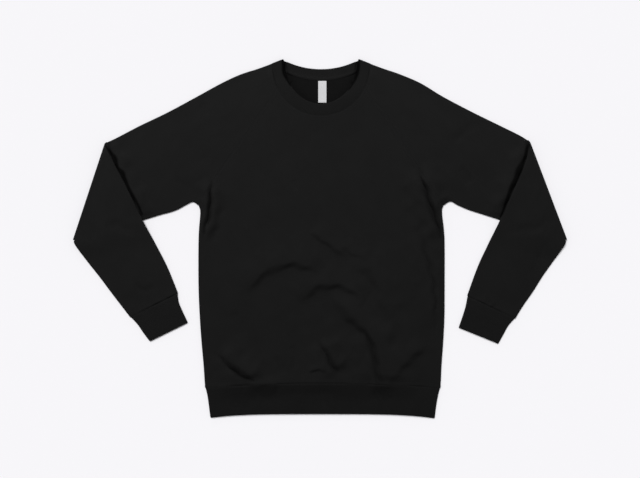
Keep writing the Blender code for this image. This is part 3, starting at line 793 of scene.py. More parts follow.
def knitted_cotton(name, dark, light, wale, course, relief, fuzz, gloss, sheen):
    """Columns of V-shaped loops under a fine fuzz. The wale is the width of a column and the course the
    height of a loop."""
    made, tree = new_material(name)
    cloth = add_node(tree, "ShaderNodeUVMap", uv_map="cloth")
    loops = add_node(tree, "ShaderNodeMapping", {
        "Vector": cloth.outputs["UV"], "Scale": (1 / wale, 1 / course, 1)})
    part = add_node(tree, "ShaderNodeSeparateXYZ", {"Vector": loops.outputs["Vector"]})
    leg = add_node(tree, "ShaderNodeMath", {0: part.outputs["X"], 1: 0.5}, operation="PINGPONG")
    slant = add_node(tree, "ShaderNodeMath", {
        0: leg.outputs[0], 1: LEG_SLANT, 2: part.outputs["Y"]}, operation="MULTIPLY_ADD")
    loop = add_node(tree, "ShaderNodeMath", {0: slant.outputs[0], 1: 0.5}, operation="PINGPONG")
    side = add_node(tree, "ShaderNodeMath", {0: leg.outputs[0], 1: 0.25}, operation="PINGPONG")
    knit = add_node(tree, "ShaderNodeMath", {
        0: side.outputs[0], 1: LEG_RELIEF, 2: loop.outputs[0]}, operation="MULTIPLY_ADD")
    hairs = add_node(tree, "ShaderNodeTexNoise", {
        "Vector": cloth.outputs["UV"], "Scale": 1 / fuzz, "Detail": 4.0, "Roughness": 0.65})
    height = add_node(tree, "ShaderNodeMath", {
        0: hairs.outputs["Fac"], 1: FUZZ_RELIEF, 2: knit.outputs[0]}, operation="MULTIPLY_ADD")
    bump = add_node(tree, "ShaderNodeBump", {
        "Height": height.outputs[0], "Strength": 0.6, "Distance": relief})
    patches = add_node(tree, "ShaderNodeTexNoise", {
        "Vector": cloth.outputs["UV"], "Scale": 1 / PATCHES, "Detail": 5.0, "Roughness": 0.6})
    # painted shade in the knit's grooves: where the loops and fuzz sink low the colour is darker, mixed with
    # paler worn patches at random
    depth = add_node(tree, "ShaderNodeMath", {
        0: height.outputs[0], 1: PAINTED_LOOP_SHADE, 2: patches.outputs["Fac"]}, operation="MULTIPLY_ADD")
    spread = add_node(tree, "ShaderNodeMapRange", {
        "Value": depth.outputs[0], "From Min": 0.4, "From Max": 1.4})
    colour = add_node(tree, "ShaderNodeMix", {"Factor": spread.outputs[0]}, data_type="RGBA")
    colour.inputs["A"].default_value, colour.inputs["B"].default_value = linear(dark), linear(light)
    # the base colour carries the painted shade of the creases
    shader = add_node(tree, "ShaderNodeBsdfPrincipled", {
        "Base Color": paint_crease_shade(tree, colour.outputs["Result"]), "Normal": bump.outputs["Normal"],
        "Roughness": 0.95, "Specular IOR Level": gloss, "Sheen Weight": sheen, "Sheen Roughness": 0.6})
    add_node(tree, "ShaderNodeOutputMaterial", {"Surface": shader.outputs["BSDF"]})
    return made


WALE = 1.4 * MM  # the real one is 0.8 mm, which is too fine to show
COURSE = 1.1 * MM
RIB_UV = 2.5 * MM  # one rib on the bands' own map, whatever its exact width
RIB_COURSE = 1.3 * MM
FLEECE_FACE = knitted_cotton("fleece_knit_face", "#191919", "#1e1e1e", WALE, COURSE,
                             relief=0.22 * MM, fuzz=0.9 * MM, gloss=0.04, sheen=0.02)
RIB_KNIT = knitted_cotton("cotton_rib_knit", "#191919", "#1f1f1f", RIB_UV, RIB_COURSE,
                          relief=0.2 * MM, fuzz=0.8 * MM, gloss=0.04, sheen=0.01)

# %% Brushed inside of the fleece
TUFTS = 3.5 * MM  # from one tuft of the nap to the next
FLEECE_BACK, tree = new_material("fleece_brushed_back")
cloth = add_node(tree, "ShaderNodeUVMap", uv_map="cloth")
tufts = add_node(tree, "ShaderNodeTexNoise", {
    "Vector": cloth.outputs["UV"], "Scale": 1 / TUFTS, "Detail": 5.0, "Roughness": 0.7, "Distortion": 0.6})
bump = add_node(tree, "ShaderNodeBump", {
    "Height": tufts.outputs["Fac"], "Strength": 0.7, "Distance": 0.6 * MM})
nap = add_node(tree, "ShaderNodeMix", {"Factor": tufts.outputs["Fac"]}, data_type="RGBA")
nap.inputs["A"].default_value, nap.inputs["B"].default_value = linear("#090909"), linear("#121212")
# the base colour carries the painted shade of the creases
shader = add_node(tree, "ShaderNodeBsdfPrincipled", {
    "Base Color": paint_crease_shade(tree, nap.outputs["Result"]), "Normal": bump.outputs["Normal"],
    "Roughness": 1.0, "Specular IOR Level": 0.05, "Sheen Weight": 0.02, "Sheen Roughness": 0.7})
add_node(tree, "ShaderNodeOutputMaterial", {"Surface": shader.outputs["BSDF"]})

# %% Sewing thread: spun polyester, a little darker and smoother than the cotton around it
FIBRES = 0.35 * MM
THREAD, tree = new_material("spun_polyester_thread")
place = add_node(tree, "ShaderNodeTexCoord")
fibres = add_node(tree, "ShaderNodeTexNoise", {
    "Vector": place.outputs["Object"], "Scale": 1 / FIBRES, "Detail": 2.0})
bump = add_node(tree, "ShaderNodeBump", {
    "Height": fibres.outputs["Fac"], "Strength": 0.5, "Distance": 0.08 * MM})
shader = add_node(tree, "ShaderNodeBsdfPrincipled", {
    "Base Color": linear("#121213"), "Roughness": 0.7, "Specular IOR Level": 0.2,
    "Normal": bump.outputs["Normal"]})
add_node(tree, "ShaderNodeOutputMaterial", {"Surface": shader.outputs["BSDF"]})

# %% Label tape: polyester woven close and flat, so it is bright and smooth, with a faint grid of threads
TAPE_THREAD = 0.7 * MM  # the real one is 0.2 mm, which is too fine to show
TAPE, tree = new_material("woven_polyester_tape")
cloth = add_node(tree, "ShaderNodeUVMap", uv_map="cloth")
threads = add_node(tree, "ShaderNodeMapping", {
    "Vector": cloth.outputs["UV"], "Scale": (1 / TAPE_THREAD, 1 / TAPE_THREAD, 1)})
part = add_node(tree, "ShaderNodeSeparateXYZ", {"Vector": threads.outputs["Vector"]})
warp = add_node(tree, "ShaderNodeMath", {0: part.outputs["X"], 1: 0.5}, operation="PINGPONG")
weft = add_node(tree, "ShaderNodeMath", {0: part.outputs["Y"], 1: 0.5}, operation="PINGPONG")
weave = add_node(tree, "ShaderNodeMath", {0: warp.outputs[0], 1: weft.outputs[0]}, operation="MULTIPLY")
bump = add_node(tree, "ShaderNodeBump", {
    "Height": weave.outputs[0], "Strength": 0.5, "Distance": 0.15 * MM})
tone = add_node(tree, "ShaderNodeMix", {"Factor": weave.outputs[0]}, data_type="RGBA")
tone.inputs["A"].default_value, tone.inputs["B"].default_value = linear("#d4d4d6"), linear("#eaeaeb")
shader = add_node(tree, "ShaderNodeBsdfPrincipled", {
    "Base Color": tone.outputs["Result"], "Roughness": 0.6, "Specular IOR Level": 0.35,
    "Normal": bump.outputs["Normal"], "Sheen Weight": 0.1, "Sheen Roughness": 0.4})
add_node(tree, "ShaderNodeOutputMaterial", {"Surface": shader.outputs["BSDF"]})
print("materials:", [m.name for m in (FLEECE_FACE, FLEECE_BACK, RIB_KNIT, THREAD, TAPE)])

# %% [markdown]
# ## Front and back
#
# Each is one net of points stretched between its four seams, then laid at its height. Rows of points follow
# the hem seam at the bottom and the neck seam at the top. They are closer together at every seam, where the
# surface turns quickly.

# %% Steps of the nets
NEAR_SEAM = np.array([0, 0.7, 1.4, 2.2, 3.2, 4.4, 5.8, 7.4, 9.2]) * MM  # distances that follow a groove
FRONT_STEPS = {"side": 156, "raglan": 125, "across": 220}  # even ones between the close ones
BACK_STEPS = {"side": 70, "raglan": 57, "across": 90}
SEAM_FALL = 24 * MM  # over this distance the front comes down to the height of the hem band


def graded(length, steps, start=(0,), end=(0,)):
    """Shares of a length: the given distances near its start and end, and even steps between."""
    start, end = np.array(start) / length, np.array(end) / length
    return np.concatenate([start[:-1], np.linspace(start[-1], 1 - end[-1], steps + 1), 1 - end[-2::-1]])


def raglan_seam(face, side, steps, top=(0,)):
    """A raglan seam from the underarm, with close steps round the edge there, to the neck seam."""
    line = raglan_line(face, side)
    return along(line, graded(run_of(line)[-1], steps, ROUND, top))


def body_net(face, top, u, steps):
    """The front or the back in the plan: rows of points from the hem seam up to the neck seam."""
    edges = []
    for side, column in (("left", 1), ("right", 2)):
        line = side_edge(column)
        edge = along(line, graded(run_of(line)[-1], steps["side"], NEAR_SEAM))
        edges.append(np.vstack([edge[:-1], raglan_seam(face, side, steps["raglan"], NEAR_SEAM)]))
    left, right = edges
    v = run_of(left) / run_of(left)[-1]
    bottom = hem_line(left[0, 0] + (right[0, 0] - left[0, 0]) * u, HEM_SEAM_Y, HEM_SEAM_SINK, 2)
    u = u[:, None]
    bottom += (1 - u) * (left[0] - bottom[0]) + u * (right[0] - bottom[-1])
    top = top + (1 - u) * (left[-1] - top[0]) + u * (right[-1] - top[-1])
    u, v = u[None], v[:, None, None]
    corner = (1 - v) * ((1 - u) * left[0] + u * right[0]) + v * ((1 - u) * left[-1] + u * right[-1])
    return (1 - v) * bottom + v * top + (1 - u) * left[:, None] + u * right[:, None] - corner


# %% How high the hem band lies, and how hard the thread pulls at its seam
BAND_SIDES = (-234 * MM, 242 * MM)
BAND_REACH = 80 * MM  # the band rises over this distance from its sides
BAND_WAVES = (0.5, 20 * MM)  # the long waves: their share, and how far from the sides they fade
HEM_HOLLOWS = (  # the same columns as those of the body
    (4.0, 11, ((-156, -296), (-118, -294), (-80, -294))),
    (-1.8, 11, ((-156, -322), (-118, -324), (-80, -322))),
    (3.4, 10, ((96, -296), (124, -297), (152, -299))),
    (-1.6, 10, ((92, -322), (124, -324), (156, -326))),
    (-1.4, 4, ((-84, -314), (-40, -317), (4, -316), (40, -313))),
)
HEM_PULLS = ((-196, -140), (-100, 62), (85, 146), (174, 226))  # where the thread pulls hard, from x to x
HEM_EASE = 16 * MM
LEAST_PULL = 0.15


def hem_rise(points):
    """How much further than at its edges the front of the hem band stands up."""
    x, y = points.T
    from_side = np.minimum(x - BAND_SIDES[0], BAND_SIDES[1] - x)
    seam = np.interp(x, HEM_SEAM[:, 0], HEM_SEAM[:, 1])
    down = np.maximum(seam - y, 0)
    up = HEM_RISE * smooth(from_side / BAND_REACH)
    up += BAND_WAVES[0] * waves(points) * smooth(from_side / BAND_WAVES[1])
    up += HEM_STAND * standing(x) * (1 - smooth((down + HEM_SHOULDER) / HEM_DESCENT))
    for row in HEM_HOLLOWS:
        up += hollow(points, row)
    return up


def hem_pull(x):
    """How hard the thread pulls at each place along the hem seam."""
    pulls = [smooth((x - a * MM) / HEM_EASE) * smooth((b * MM - x) / HEM_EASE) for a, b in HEM_PULLS]
    return LEAST_PULL + (1 - LEAST_PULL) * np.max(pulls, axis=0)


# %% The two layers of the body and of the upper sleeves
BODY_SEAMS = {
    "front": FRONT_SEAMS[:2],
    "back": [raglan_line("back", "left"), raglan_line("back", "right"),
             back_arc(NECK_SEAM, BACK_NECK_SEAM, np.linspace(-1, 1, 41))],
}
BACK_HOLLOWS = (  # the same columns, but the height is how far up the underside goes
    (1.1, 9, ((-150, -60), (-60, -92), (40, -84), (120, -58))),
    (0.9, 8, ((-170, -180), (-90, -214), (-10, -210), (60, -190))),
    (1.0, 9, ((90, -150), (130, -210), (150, -284))),
    (0.9, 8, ((-120, 60), (-40, 44), (70, 66))),
    (0.8, 8, ((-212, 90), (-205, 40), (-215, -10))),
    (0.9, 8, ((212, 96), (207, 44), (222, -14))),
    (0.8, 10, ((-60, 180), (0, 168), (66, 186))),
    (0.9, 9, ((-330, 110), (-300, 140), (-270, 190))),
    (0.9, 9, ((338, 116), (306, 150), (280, 196))),
)
DEEPEST = 1.5 * MM  # leaves 0.9 mm of the back's wall above a hollow


def front_shape(points):
    """The distance from the outline, the lift and the seam grooves at points of the upper layer."""
    away = distance(points, OUTLINE)
    from_hem = distance(points, [HEM_SEAM])
    band = hem_rise(points)
    lift = band + (rise(points, away) - band) * smooth(from_hem / SEAM_FALL)
    dip = groove(distance(points, BODY_SEAMS["front"]), SHALLOW, True)
    dip += groove(distance(points, [FRONT_NECK]), FAINT, False)
    return away, lift, dip + groove(from_hem, DEEP * hem_pull(points[:, 0]), True)


def back_shape(points):
    """The same for the lower layer, which lies flat on the table. Its hollows are seen from below."""
    dip = groove(distance(points, BODY_SEAMS["back"]), SHALLOW, True)
    dip += groove(distance(points, [HEM_SEAM]), DEEP, True)
    for row in BACK_HOLLOWS:
        dip += hollow(points, row)
    return distance(points, OUTLINE), np.zeros(len(points)), np.clip(dip, 0, DEEPEST)


def lay_shape(net, shape, up, from_edge=np.inf):
    """A net laid as one layer, with the height that a shape gives at each of its points. from_edge is a
    second measure of the distance from the edges, and the smaller one counts."""
    points = net.reshape(-1, 2)
    away, lift, dip = (values.reshape(net.shape[:2]) for values in shape(points))
    away = np.minimum(away, from_edge)
    faces = lay(net, away, up, lift, dip)
    if up > 0:
        shift = closing(points, away.ravel()).reshape(net.shape)
        for face in faces:
            face[..., :2] += shift
    return faces


# %% Make the front and the back
def flat_cloth(name, net, shape, up):
    """One panel of the body, from its net in the plan."""
    outer, inner = lay_shape(net, shape, up)
    return two_faced_skin(name, outer, inner, net, False, [FLEECE_FACE, FLEECE_BACK])


BODY_WIDTH = (SIDES[0][2] - SIDES[0][1]) * MM
front_u = graded(BODY_WIDTH, FRONT_STEPS["across"], ROUND, ROUND)
front_top = neck_arc(NECK_SEAM, (2 * front_u - 1) * NECK_CORNER)
front = flat_cloth("front_skin", body_net("front", front_top, front_u, FRONT_STEPS), front_shape, 1)
back_u = graded(BODY_WIDTH, BACK_STEPS["across"], ROUND, ROUND)
back_top = back_arc(NECK_SEAM, BACK_NECK_SEAM, (2 * back_u - 1) * BACK_NECK_CORNER)
back = flat_cloth("back_skin", body_net("back", back_top, back_u, BACK_STEPS), back_shape, -1)

# %% [markdown]
# ## Sleeves
#
# A sleeve is a flattened tube. It runs from the raglan seams to the elbow, turns over itself there, and the
# forearm lies on the upper sleeve before it comes down to the table. It could be two pieces, but the cloth
# turns in one at the fold, so it is one closed tube of sections.

# %% Places of the sections
SLEEVE_RAGLAN = 101  # even steps of the first section along a raglan seam
NECK_SIDE = 17  # and along the neck seam to the shoulder
UPPER_STEPS = 134
FORE_STEPS = 84
EDGE_POINTS = 400  # of an edge before it is cut into steps
STRAIGHT = 0.44  # the armhole's curve has straightened out at this share of the upper sleeve
AXIS = TUBE + FOLD_GAP / 2  # height of the line that the fold turns round
LATE = 8  # a high power keeps a correction to the last stretch of an edge


def armhole(side):
    """The front and the back half of a sleeve's first section, each from the underarm to the shoulder."""
    end, onward = shoulder(side)
    tip = end + np.outer(EDGE - ROUND[-2::-1], onward)
    angles = SIGN[side] * np.linspace(NECK_CORNER, math.pi / 2, NECK_SIDE + 1)
    shares = SIGN[side] * np.linspace(BACK_NECK_CORNER, 1, NECK_SIDE + 1)
    arcs = {"front": neck_arc(NECK_SEAM, angles), "back": back_arc(NECK_SEAM, BACK_NECK_SEAM, shares)}
    return [np.vstack([raglan_seam(face, side, SLEEVE_RAGLAN)[:-1], arc, tip]) for face, arc in arcs.items()]


def across(top, under, middle):
    """Points of straight sections, with close steps at both their ends, and how far across each one lies."""
    width = np.linalg.norm(top - under, axis=1)[:, None]
    near = ROUND / width
    share = np.hstack([near[:, :-1], near[:, -1:] + (1 - 2 * near[:, -1:]) * middle, 1 - near[:, -2::-1]])
    return under[:, None] + (top - under)[:, None] * share[..., None], share * width


def upper_sections(side):
    """The front and back halves of the upper sleeve in the plan, how far across each of their points lies,
    the even shares across them, and how far along each section is."""
    table = np.array(UPPER[side]) * MM
    fold = table[-1, 1] - table[-1, 0]
    out = unit(np.array([-fold[1], fold[0]]))
    out *= np.sign(out[0]) * SIGN[side]
    halves = armhole(side)
    ends = halves[0][-1], halves[0][0]
    lines = []
    for column in (0, 1):
        line = through([ends[column], *table[:, column]], np.linspace(0, len(table), EDGE_POINTS))
        to_fold = (table[-1, column] - line) @ out
        last = np.searchsorted(-to_fold, -AXIS)  # the turn over the fold takes up the rest
        weight = np.linspace(0, 1, last + 1) ** LATE
        lines.append(line[: last + 1] - np.outer(weight, out) * (AXIS - to_fold[last]))
    run = np.mean([run_of(line)[-1] for line in lines])
    share = graded(run, UPPER_STEPS, NEAR_SEAM)
    top, under = along(lines[0], share), along(lines[1], share)
    nets, widths, middles = [], [], []
    for half in halves:
        length = run_of(half)[len(ROUND) - 1 : 1 - len(ROUND)]
        middle = (length - length[0]) / (length[-1] - length[0])
        net, width = across(top, under, middle)
        net += smooth(1 - share / STRAIGHT)[:, None, None] * (half - net[0])
        nets.append(net)
        widths.append(width)
        middles.append(middle)
    return nets, widths, middles, share * run


# %% The elbow fold
TURN_STEPS = 12
FOLD_SHIFT = 0.35  # the forearm starts at this share of the way from the upper sleeve's end to the fold


def turn_over(net, fold_ends, to_corners, bulge):
    """The end of one face of the upper sleeve, turned half round a line across it. fold_ends are the ends of
    its last section, to_corners is how far beyond them the corners of the fold are, and bulge makes the
    corners square."""
    turns = np.linspace(0, math.pi, TURN_STEPS + 1)[1:, None, None]
    line = fold_ends[0] - fold_ends[1]
    place = (net[-1, :, :2] - fold_ends[1]) @ line / (line @ line)
    to_fold = to_corners[1] + place[:, None] * (to_corners[0] - to_corners[1])
    reach = AXIS - net[-1, :, 2:]
    moved = FOLD_SHIFT * smooth(turns / math.pi)
    share = moved + (1 - moved) * (reach + bulge / 2) / AXIS * np.sin(turns)
    return np.concatenate([net[-1, :, :2] + share * to_fold, AXIS - reach * np.cos(turns)], axis=2)


# %% The forearm
DROP_SECTION = 3  # it comes down beyond a line from this row of the upper sleeve's table to the elbow
ELBOW_LIFT = (3.5 * MM, 24 * MM)  # its inner edge stands up near the elbow: height, how far in
LIFT_FADES = (60 * MM, 25 * MM)  # it fades over the first towards the table, over the second to the fold
FORE_POINTS = 397  # of an edge; every sixth of them is enough to measure from, and the last is one of those
CUFF_WIDTH = 100 * MM  # roughly: it turns a distance into a share of the cuff seam
CUFF_PULL = (0.85, 0.3)  # the pull fades out at the first share of the cuff seam, over the second
FORE_WAVES = (0.8, 25 * MM)  # the long waves: their share, and how far from a pressed end they fade
WAVES_SHIFT = 0.3  # reads the waves elsewhere, so they aren't those of the sleeve below
CUFF_PUCKERS = {"count": 7, "longest": 24 * MM, "tallest": 1.4 * MM}
CUFF_SEED = 11
FORE_LOWEST = -0.6 * MM  # the upper layer comes nearer to the lower one by at most this


def cuff_pull(share):
    """How hard the thread pulls at each share of the cuff seam, from the inner edge."""
    return LEAST_PULL + (1 - LEAST_PULL) * smooth((CUFF_PULL[0] - share) / CUFF_PULL[1])


def beyond_sleeve(points, side, elbow):
    """How far below the underarm edge of the upper sleeve each point is."""
    start, end = np.array(UPPER[side][DROP_SECTION][1]) * MM, elbow
    below = unit(np.array([end[1] - start[1], start[0] - end[0]]))
    below *= -np.sign(below[1])
    return (points - start) @ below


def fore_shape(points, side, upper_layer, fold_ends, edges, cuff_end):
    """The distance from the edges, the lift and the seam groove at points of one layer of a forearm."""
    past = beyond_sleeve(points, side, fold_ends[1])
    beneath = rise(points, distance(points, OUTLINE), ((hollow, HOLLOWS),)) * (past < 0)
    lift = (TUBE + FOLD_GAP + beneath) * smooth(1 - past / DROP)
    away, _, place = nearest(points, edges[0])
    stand = ELBOW_LIFT[0] * bell(away / ELBOW_LIFT[1])
    lift += stand * smooth(-past / LIFT_FADES[0]) * smooth(place / LIFT_FADES[1])
    from_cuff = distance(points, [cuff_end])
    dip = groove(from_cuff, DEEP * cuff_pull(away / CUFF_WIDTH), True)
    away = np.minimum(away, distance(points, edges[1:]))
    if upper_layer:
        pressed = np.minimum(distance(points, [fold_ends]), from_cuff)
        up = PUFF * smooth(away / PUFF_REACH) * smooth(pressed / FOLD_FADE)
        up += FORE_WAVES[0] * waves(points + WAVES_SHIFT) * smooth(pressed / FORE_WAVES[1])
        for row in FOREARM_HOLLOWS[side]:
            up += hollow(points, row)
        up += puckers(points, cuff_end, seed=CUFF_SEED + SIGN[side], **CUFF_PUCKERS)
        lift += np.maximum(up * smooth(away / EDGE_FADE), FORE_LOWEST)
    return away, lift, dip


def forearm(side, middles, fold_ends):
    """The lower and the upper layer of a forearm, how far across each point lies, and how far along each
    section is."""
    chain = np.concatenate([fold_ends[None], np.array(FORE[side]) * MM])
    steps = np.linspace(0, len(chain) - 1, FORE_POINTS)
    edges = [through(chain[:, column], steps) for column in (0, 1)]
    length = np.mean([run_of(edge)[-1] for edge in edges])
    share = graded(length, FORE_STEPS, (0,), NEAR_SEAM)[1:]
    top, under = along(edges[0], share), along(edges[1], share)
    edges = [edge[::6] for edge in edges]
    layers, widths = [], []
    for middle, upper_layer in zip(middles, (False, True)):
        net, width = across(top, under, middle)
        shape = fore_shape(net.reshape(-1, 2), side, upper_layer, fold_ends, edges, chain[-1])
        away, lift, dip = (values.reshape(net.shape[:2]) for values in shape)
        layers.append(lay(net, away, 1 if upper_layer else -1, lift, dip))
        widths.append(width)
    return layers, widths, length * share


# %% Make the sleeves
def sleeve(side):
    """A sleeve from the raglan seams round the elbow fold to the cuff seam, and its length."""
    nets, widths, middles, run = upper_sections(side)
    far = np.where(run < STRAIGHT * run[-1], 1, 0)[:, None]  # only straight sections measure their own width
    layers = [lay_shape(net, shape, up, np.minimum(width, width[:, -1:] - width) + far)
              for net, shape, up, width in zip(nets, (front_shape, back_shape), (1, -1), widths)]
    flat = [ring(a, b) for a, b in zip(*layers)]
    fold_ends = nets[0][-1, [-1, 0]]
    to_corners = np.array(UPPER[side][-1]) * MM - fold_ends
    height = flat[0][-1, :, 2:]
    bulge = np.clip(np.minimum(height, TUBE - height), 0, None)
    turned = [turn_over(net, fold_ends, to_corners, bulge) for net in flat]
    fore, fore_widths, fore_run = forearm(side, middles, fold_ends + FOLD_SHIFT * to_corners)
    skins = [np.concatenate([a, b, ring(c, d)]) for a, b, c, d in zip(flat, turned, *fore)]
    run = np.concatenate([run, run[-1] + 2 * AXIS * np.linspace(0, 1, TURN_STEPS + 1)[1:]])
    run = np.concatenate([run, run[-1] + fore_run])
    widths = [np.vstack([width, np.repeat(width[-1:], TURN_STEPS, axis=0), fore_width])
              for width, fore_width in zip(widths, fore_widths)]
    width = np.hstack([widths[0], widths[1][:, -2:0:-1]])
    uv = np.dstack([width, np.repeat(run[:, None], width.shape[1], axis=1)])
    skin = two_faced_skin(f"sleeve_{side}_skin", *skins, uv, True, [FLEECE_FACE, FLEECE_BACK])
    return skin, run[-1]


sleeves = {side: sleeve(side) for side in SIGN}
lengths = {side: round(length / MM) for side, (_, length) in sleeves.items()}
print("from neck to cuff along the middle of a sleeve:", lengths, "mm")

# %% [markdown]
# ## Rib bands
#
# A rib band is knitted in alternating columns that stand out and sink in, folded double and sewn on by its
# raw edges, so its free edge is a soft fold. The ribs could be painted on, but they shape the edge of each
# band, so every rib is modelled: six points across each.

# %% A band of ribs
PER_RIB = 6
RIB_HEIGHT = 0.34 * MM  # from the middle of the cloth's face to the top of a rib
INSIDE_RIBS = 0.3  # how strongly the ribs show on the inner side
FOLD_TURN = np.linspace(0, math.pi, 8)[1:-1]  # steps round the free edge
BAND_NEAR = np.array([-0.15, 0.6, 1.3, 2.1, 3.1, 4.4, 6.0, 8.0]) * MM  # rows that follow a seam's groove
TAPE_RIDGE = (3.0 * MM, 2.8 * MM)  # the covered seam inside a band: its place and half width


def rib_band(name, middle_line, outward, lift, depth, pitch, rows, seam=DEEP, inside=INSIDE_RIBS, tape=0):
    """A band from its seam over its fold and back up inside, closed into one skin.

    middle_line(t) gives the plan of its middle at a share t of its depth, and lift(points, t) how high it
    lies. outward is the direction out of the cloth at each place round the band. seam is the depth of the
    groove on its seam, and tape is how thick the covered seam is inside."""
    count = len(outward)
    phase = np.cos(np.arange(count) * 2 * math.pi / PER_RIB)
    flat_end = depth - RIB / 2
    outside = np.concatenate([BAND_NEAR, np.linspace(BAND_NEAR[-1], flat_end, rows + 1)[1:]])
    back_rows = np.concatenate([np.linspace(flat_end, BAND_NEAR[-1], rows + 1), BAND_NEAR[-2::-1]])
    onward = unit(middle_line(1) - middle_line(0.9))
    points, run = [], []
    plan = [(d, 0) for d in outside] + [(flat_end, turn) for turn in FOLD_TURN]
    plan += [(d, math.pi) for d in back_rows]
    for far, turn in plan:
        line = middle_line(far / depth)
        weight = 1 + (inside - 1) * (1 - math.cos(turn)) / 2
        half = RIB / 2 + RIB_HEIGHT * phase * weight
        half -= groove(max(far, 0), seam, False) if turn == 0 else 0
        half += tape * bell((far - TAPE_RIDGE[0]) / TAPE_RIDGE[1]) if turn == math.pi else 0
        radial = (EDGE - RIB / 2) + half * math.cos(turn)
        place = np.column_stack([line, EDGE + lift(line, far / depth)])
        place += outward * np.reshape(radial, (-1, 1))
        place[:, :2] += onward * np.reshape(half * math.sin(turn), (-1, 1))
        place[:, 2] = np.maximum(place[:, 2], 0)
        points.append(place)
        run.append(far + turn * RIB / 2 if turn < math.pi else 2 * flat_end + math.pi * RIB / 2 - far)
    points = np.array(points)
    number = numbered(points)
    number = np.vstack([number, number[:1]])
    faces = corners(np.hstack([number, number[:, :1]]))
    run.append(run[-1] + RIB)
    uv = np.dstack(np.meshgrid(np.arange(count + 1) * pitch / PER_RIB, run))
    corner_uv = uv.reshape(-1, 2)[corners(numbered(uv)).ravel()]
    piece = finish_skin(name, points.reshape(-1, 3), [*faces], corner_uv, [RIB_KNIT], None, SHARP_RIB)
    print(f"  {count // PER_RIB} ribs of {pitch / MM:.2f} mm")
    return piece


def round_tube(width, ribs):
    """Even places round a flattened tube, from the middle of its lower layer: how far across, and outward."""
    flat, bend = width - 2 * EDGE, math.pi * EDGE
    s = np.arange(ribs * PER_RIB) / (ribs * PER_RIB) * 2 * (flat + bend)
    marks = np.cumsum([0, flat / 2, bend, flat, bend, flat / 2])
    share = np.interp(s, marks, [0.5, 1, 1, 0, 0, 0.5])
    turn = np.interp(s, marks, np.array([-0.5, -0.5, 0.5, 0.5, 1.5, 1.5]) * math.pi)
    return share, np.cos(turn), np.sin(turn), 2 * (flat + bend) / ribs


# %% Cuffs
CUFF_RIBS = 76
BAND_POINTS = 60  # of an edge
BAND_ROWS = 9


def cuff(side):
    """A cuff, its width and its depth."""
    top, under = np.array(FORE[side][-1]) * MM
    run = unit(under - top)
    seam = [[top + run * CUFF_TUCK, under - run * CUFF_TUCK]]
    table = np.concatenate([seam, np.array(CUFF[side]) * MM])
    steps = np.linspace(0, len(table) - 1, BAND_POINTS)
    edges = [through(table[:, column], steps) for column in (0, 1)]
    depth = np.mean([run_of(edge)[-1] for edge in edges])
    width = np.linalg.norm(np.mean(edges[0] - edges[1], axis=0))
    share, across_tube, up, pitch = round_tube(width, CUFF_RIBS)

    def middle_line(t):
        if t < 0:
            ends = [edge[0] + (edge[1] - edge[0]) * t * (BAND_POINTS - 1) for edge in edges]
        else:
            ends = [along(edge, np.array([t]))[0] for edge in edges]
        way = unit(ends[0] - ends[1])
        return ends[1] + way * EDGE + np.outer(share, ends[0] - ends[1] - 2 * EDGE * way)

    outward = np.column_stack([np.outer(across_tube, unit(edges[0][-1] - edges[1][-1])), up])
    lying = np.zeros(len(share))
    skin = rib_band(f"cuff_{side}_skin", middle_line, outward, lambda line, t: lying, depth, pitch,
                    BAND_ROWS, DEEP * cuff_pull(1 - share))
    return skin, width, depth


cuffs = {side: cuff(side) for side in SIGN}

# %% Hem band
HEM_RIBS = 396


def hem_band():
    """The hem band, its width and its depth."""
    steps = np.linspace(0, len(HEM_SIDES) - 1, BAND_POINTS)
    left = through([(row[1], row[0]) for row in HEM_SIDES], steps) * MM
    right = through([(row[2], row[0]) for row in HEM_SIDES], steps) * MM
    depth = HEM_SEAM_Y - HEM_EDGE_Y
    width = np.mean(right[:, 0] - left[:, 0])
    share, across_tube, up, pitch = round_tube(width, HEM_RIBS)
    on_top = smooth(0.5 + 3 * up)  # 1 on the upper layer and 0 on the lower one

    def middle_line(t):
        a, b = (along(edge, np.array([max(t, 0)]))[0, 0] for edge in (left, right))
        x = a + EDGE + (b - a - 2 * EDGE) * share
        seam = hem_line(x, HEM_SEAM_Y, HEM_SEAM_SINK, 2)
        return seam * (1 - t) + hem_line(x, HEM_EDGE_Y, HEM_EDGE_SINK, 4) * t

    outward = np.column_stack([across_tube, np.zeros(len(share)), up])
    skin = rib_band("hem_band_skin", middle_line, outward, lambda line, t: hem_rise(line) * on_top, depth,
                    pitch, BAND_ROWS, DEEP * hem_pull(middle_line(0)[:, 0]))
    return skin, width, depth


hem = hem_band()

# %% [markdown]
# ### The neckband
#
# It is the same kind of band, but it lies in a ring: its back half on the table, its front half on the back
# panel, and at each shoulder one turns into the other. Its inner side shows at the back, where a tape covers
# the seam.

# %% Neckband
NECK_RIBS = 206
NECK_POINTS = 400  # of each half of the ring
NECK_ROWS = 8
BAND_RISE = 0.2 * MM  # how much higher than the front beside it the band lies
BAND_SWELL = 0.5 * MM  # and how much higher again half-way across it
BAND_DESCENT = math.radians(35)  # it comes down over this angle towards a shoulder
NECK_FLARE = 5.0 * MM  # the free edge at the front stands up
NECK_TAPE = 1.1 * MM  # thickness of the covered seam inside the back
CURL = (5.0 * MM, 3.0 * MM, 4.0 * MM, 24 * MM)  # the back curls up at a shoulder: height, gap, rise, reach


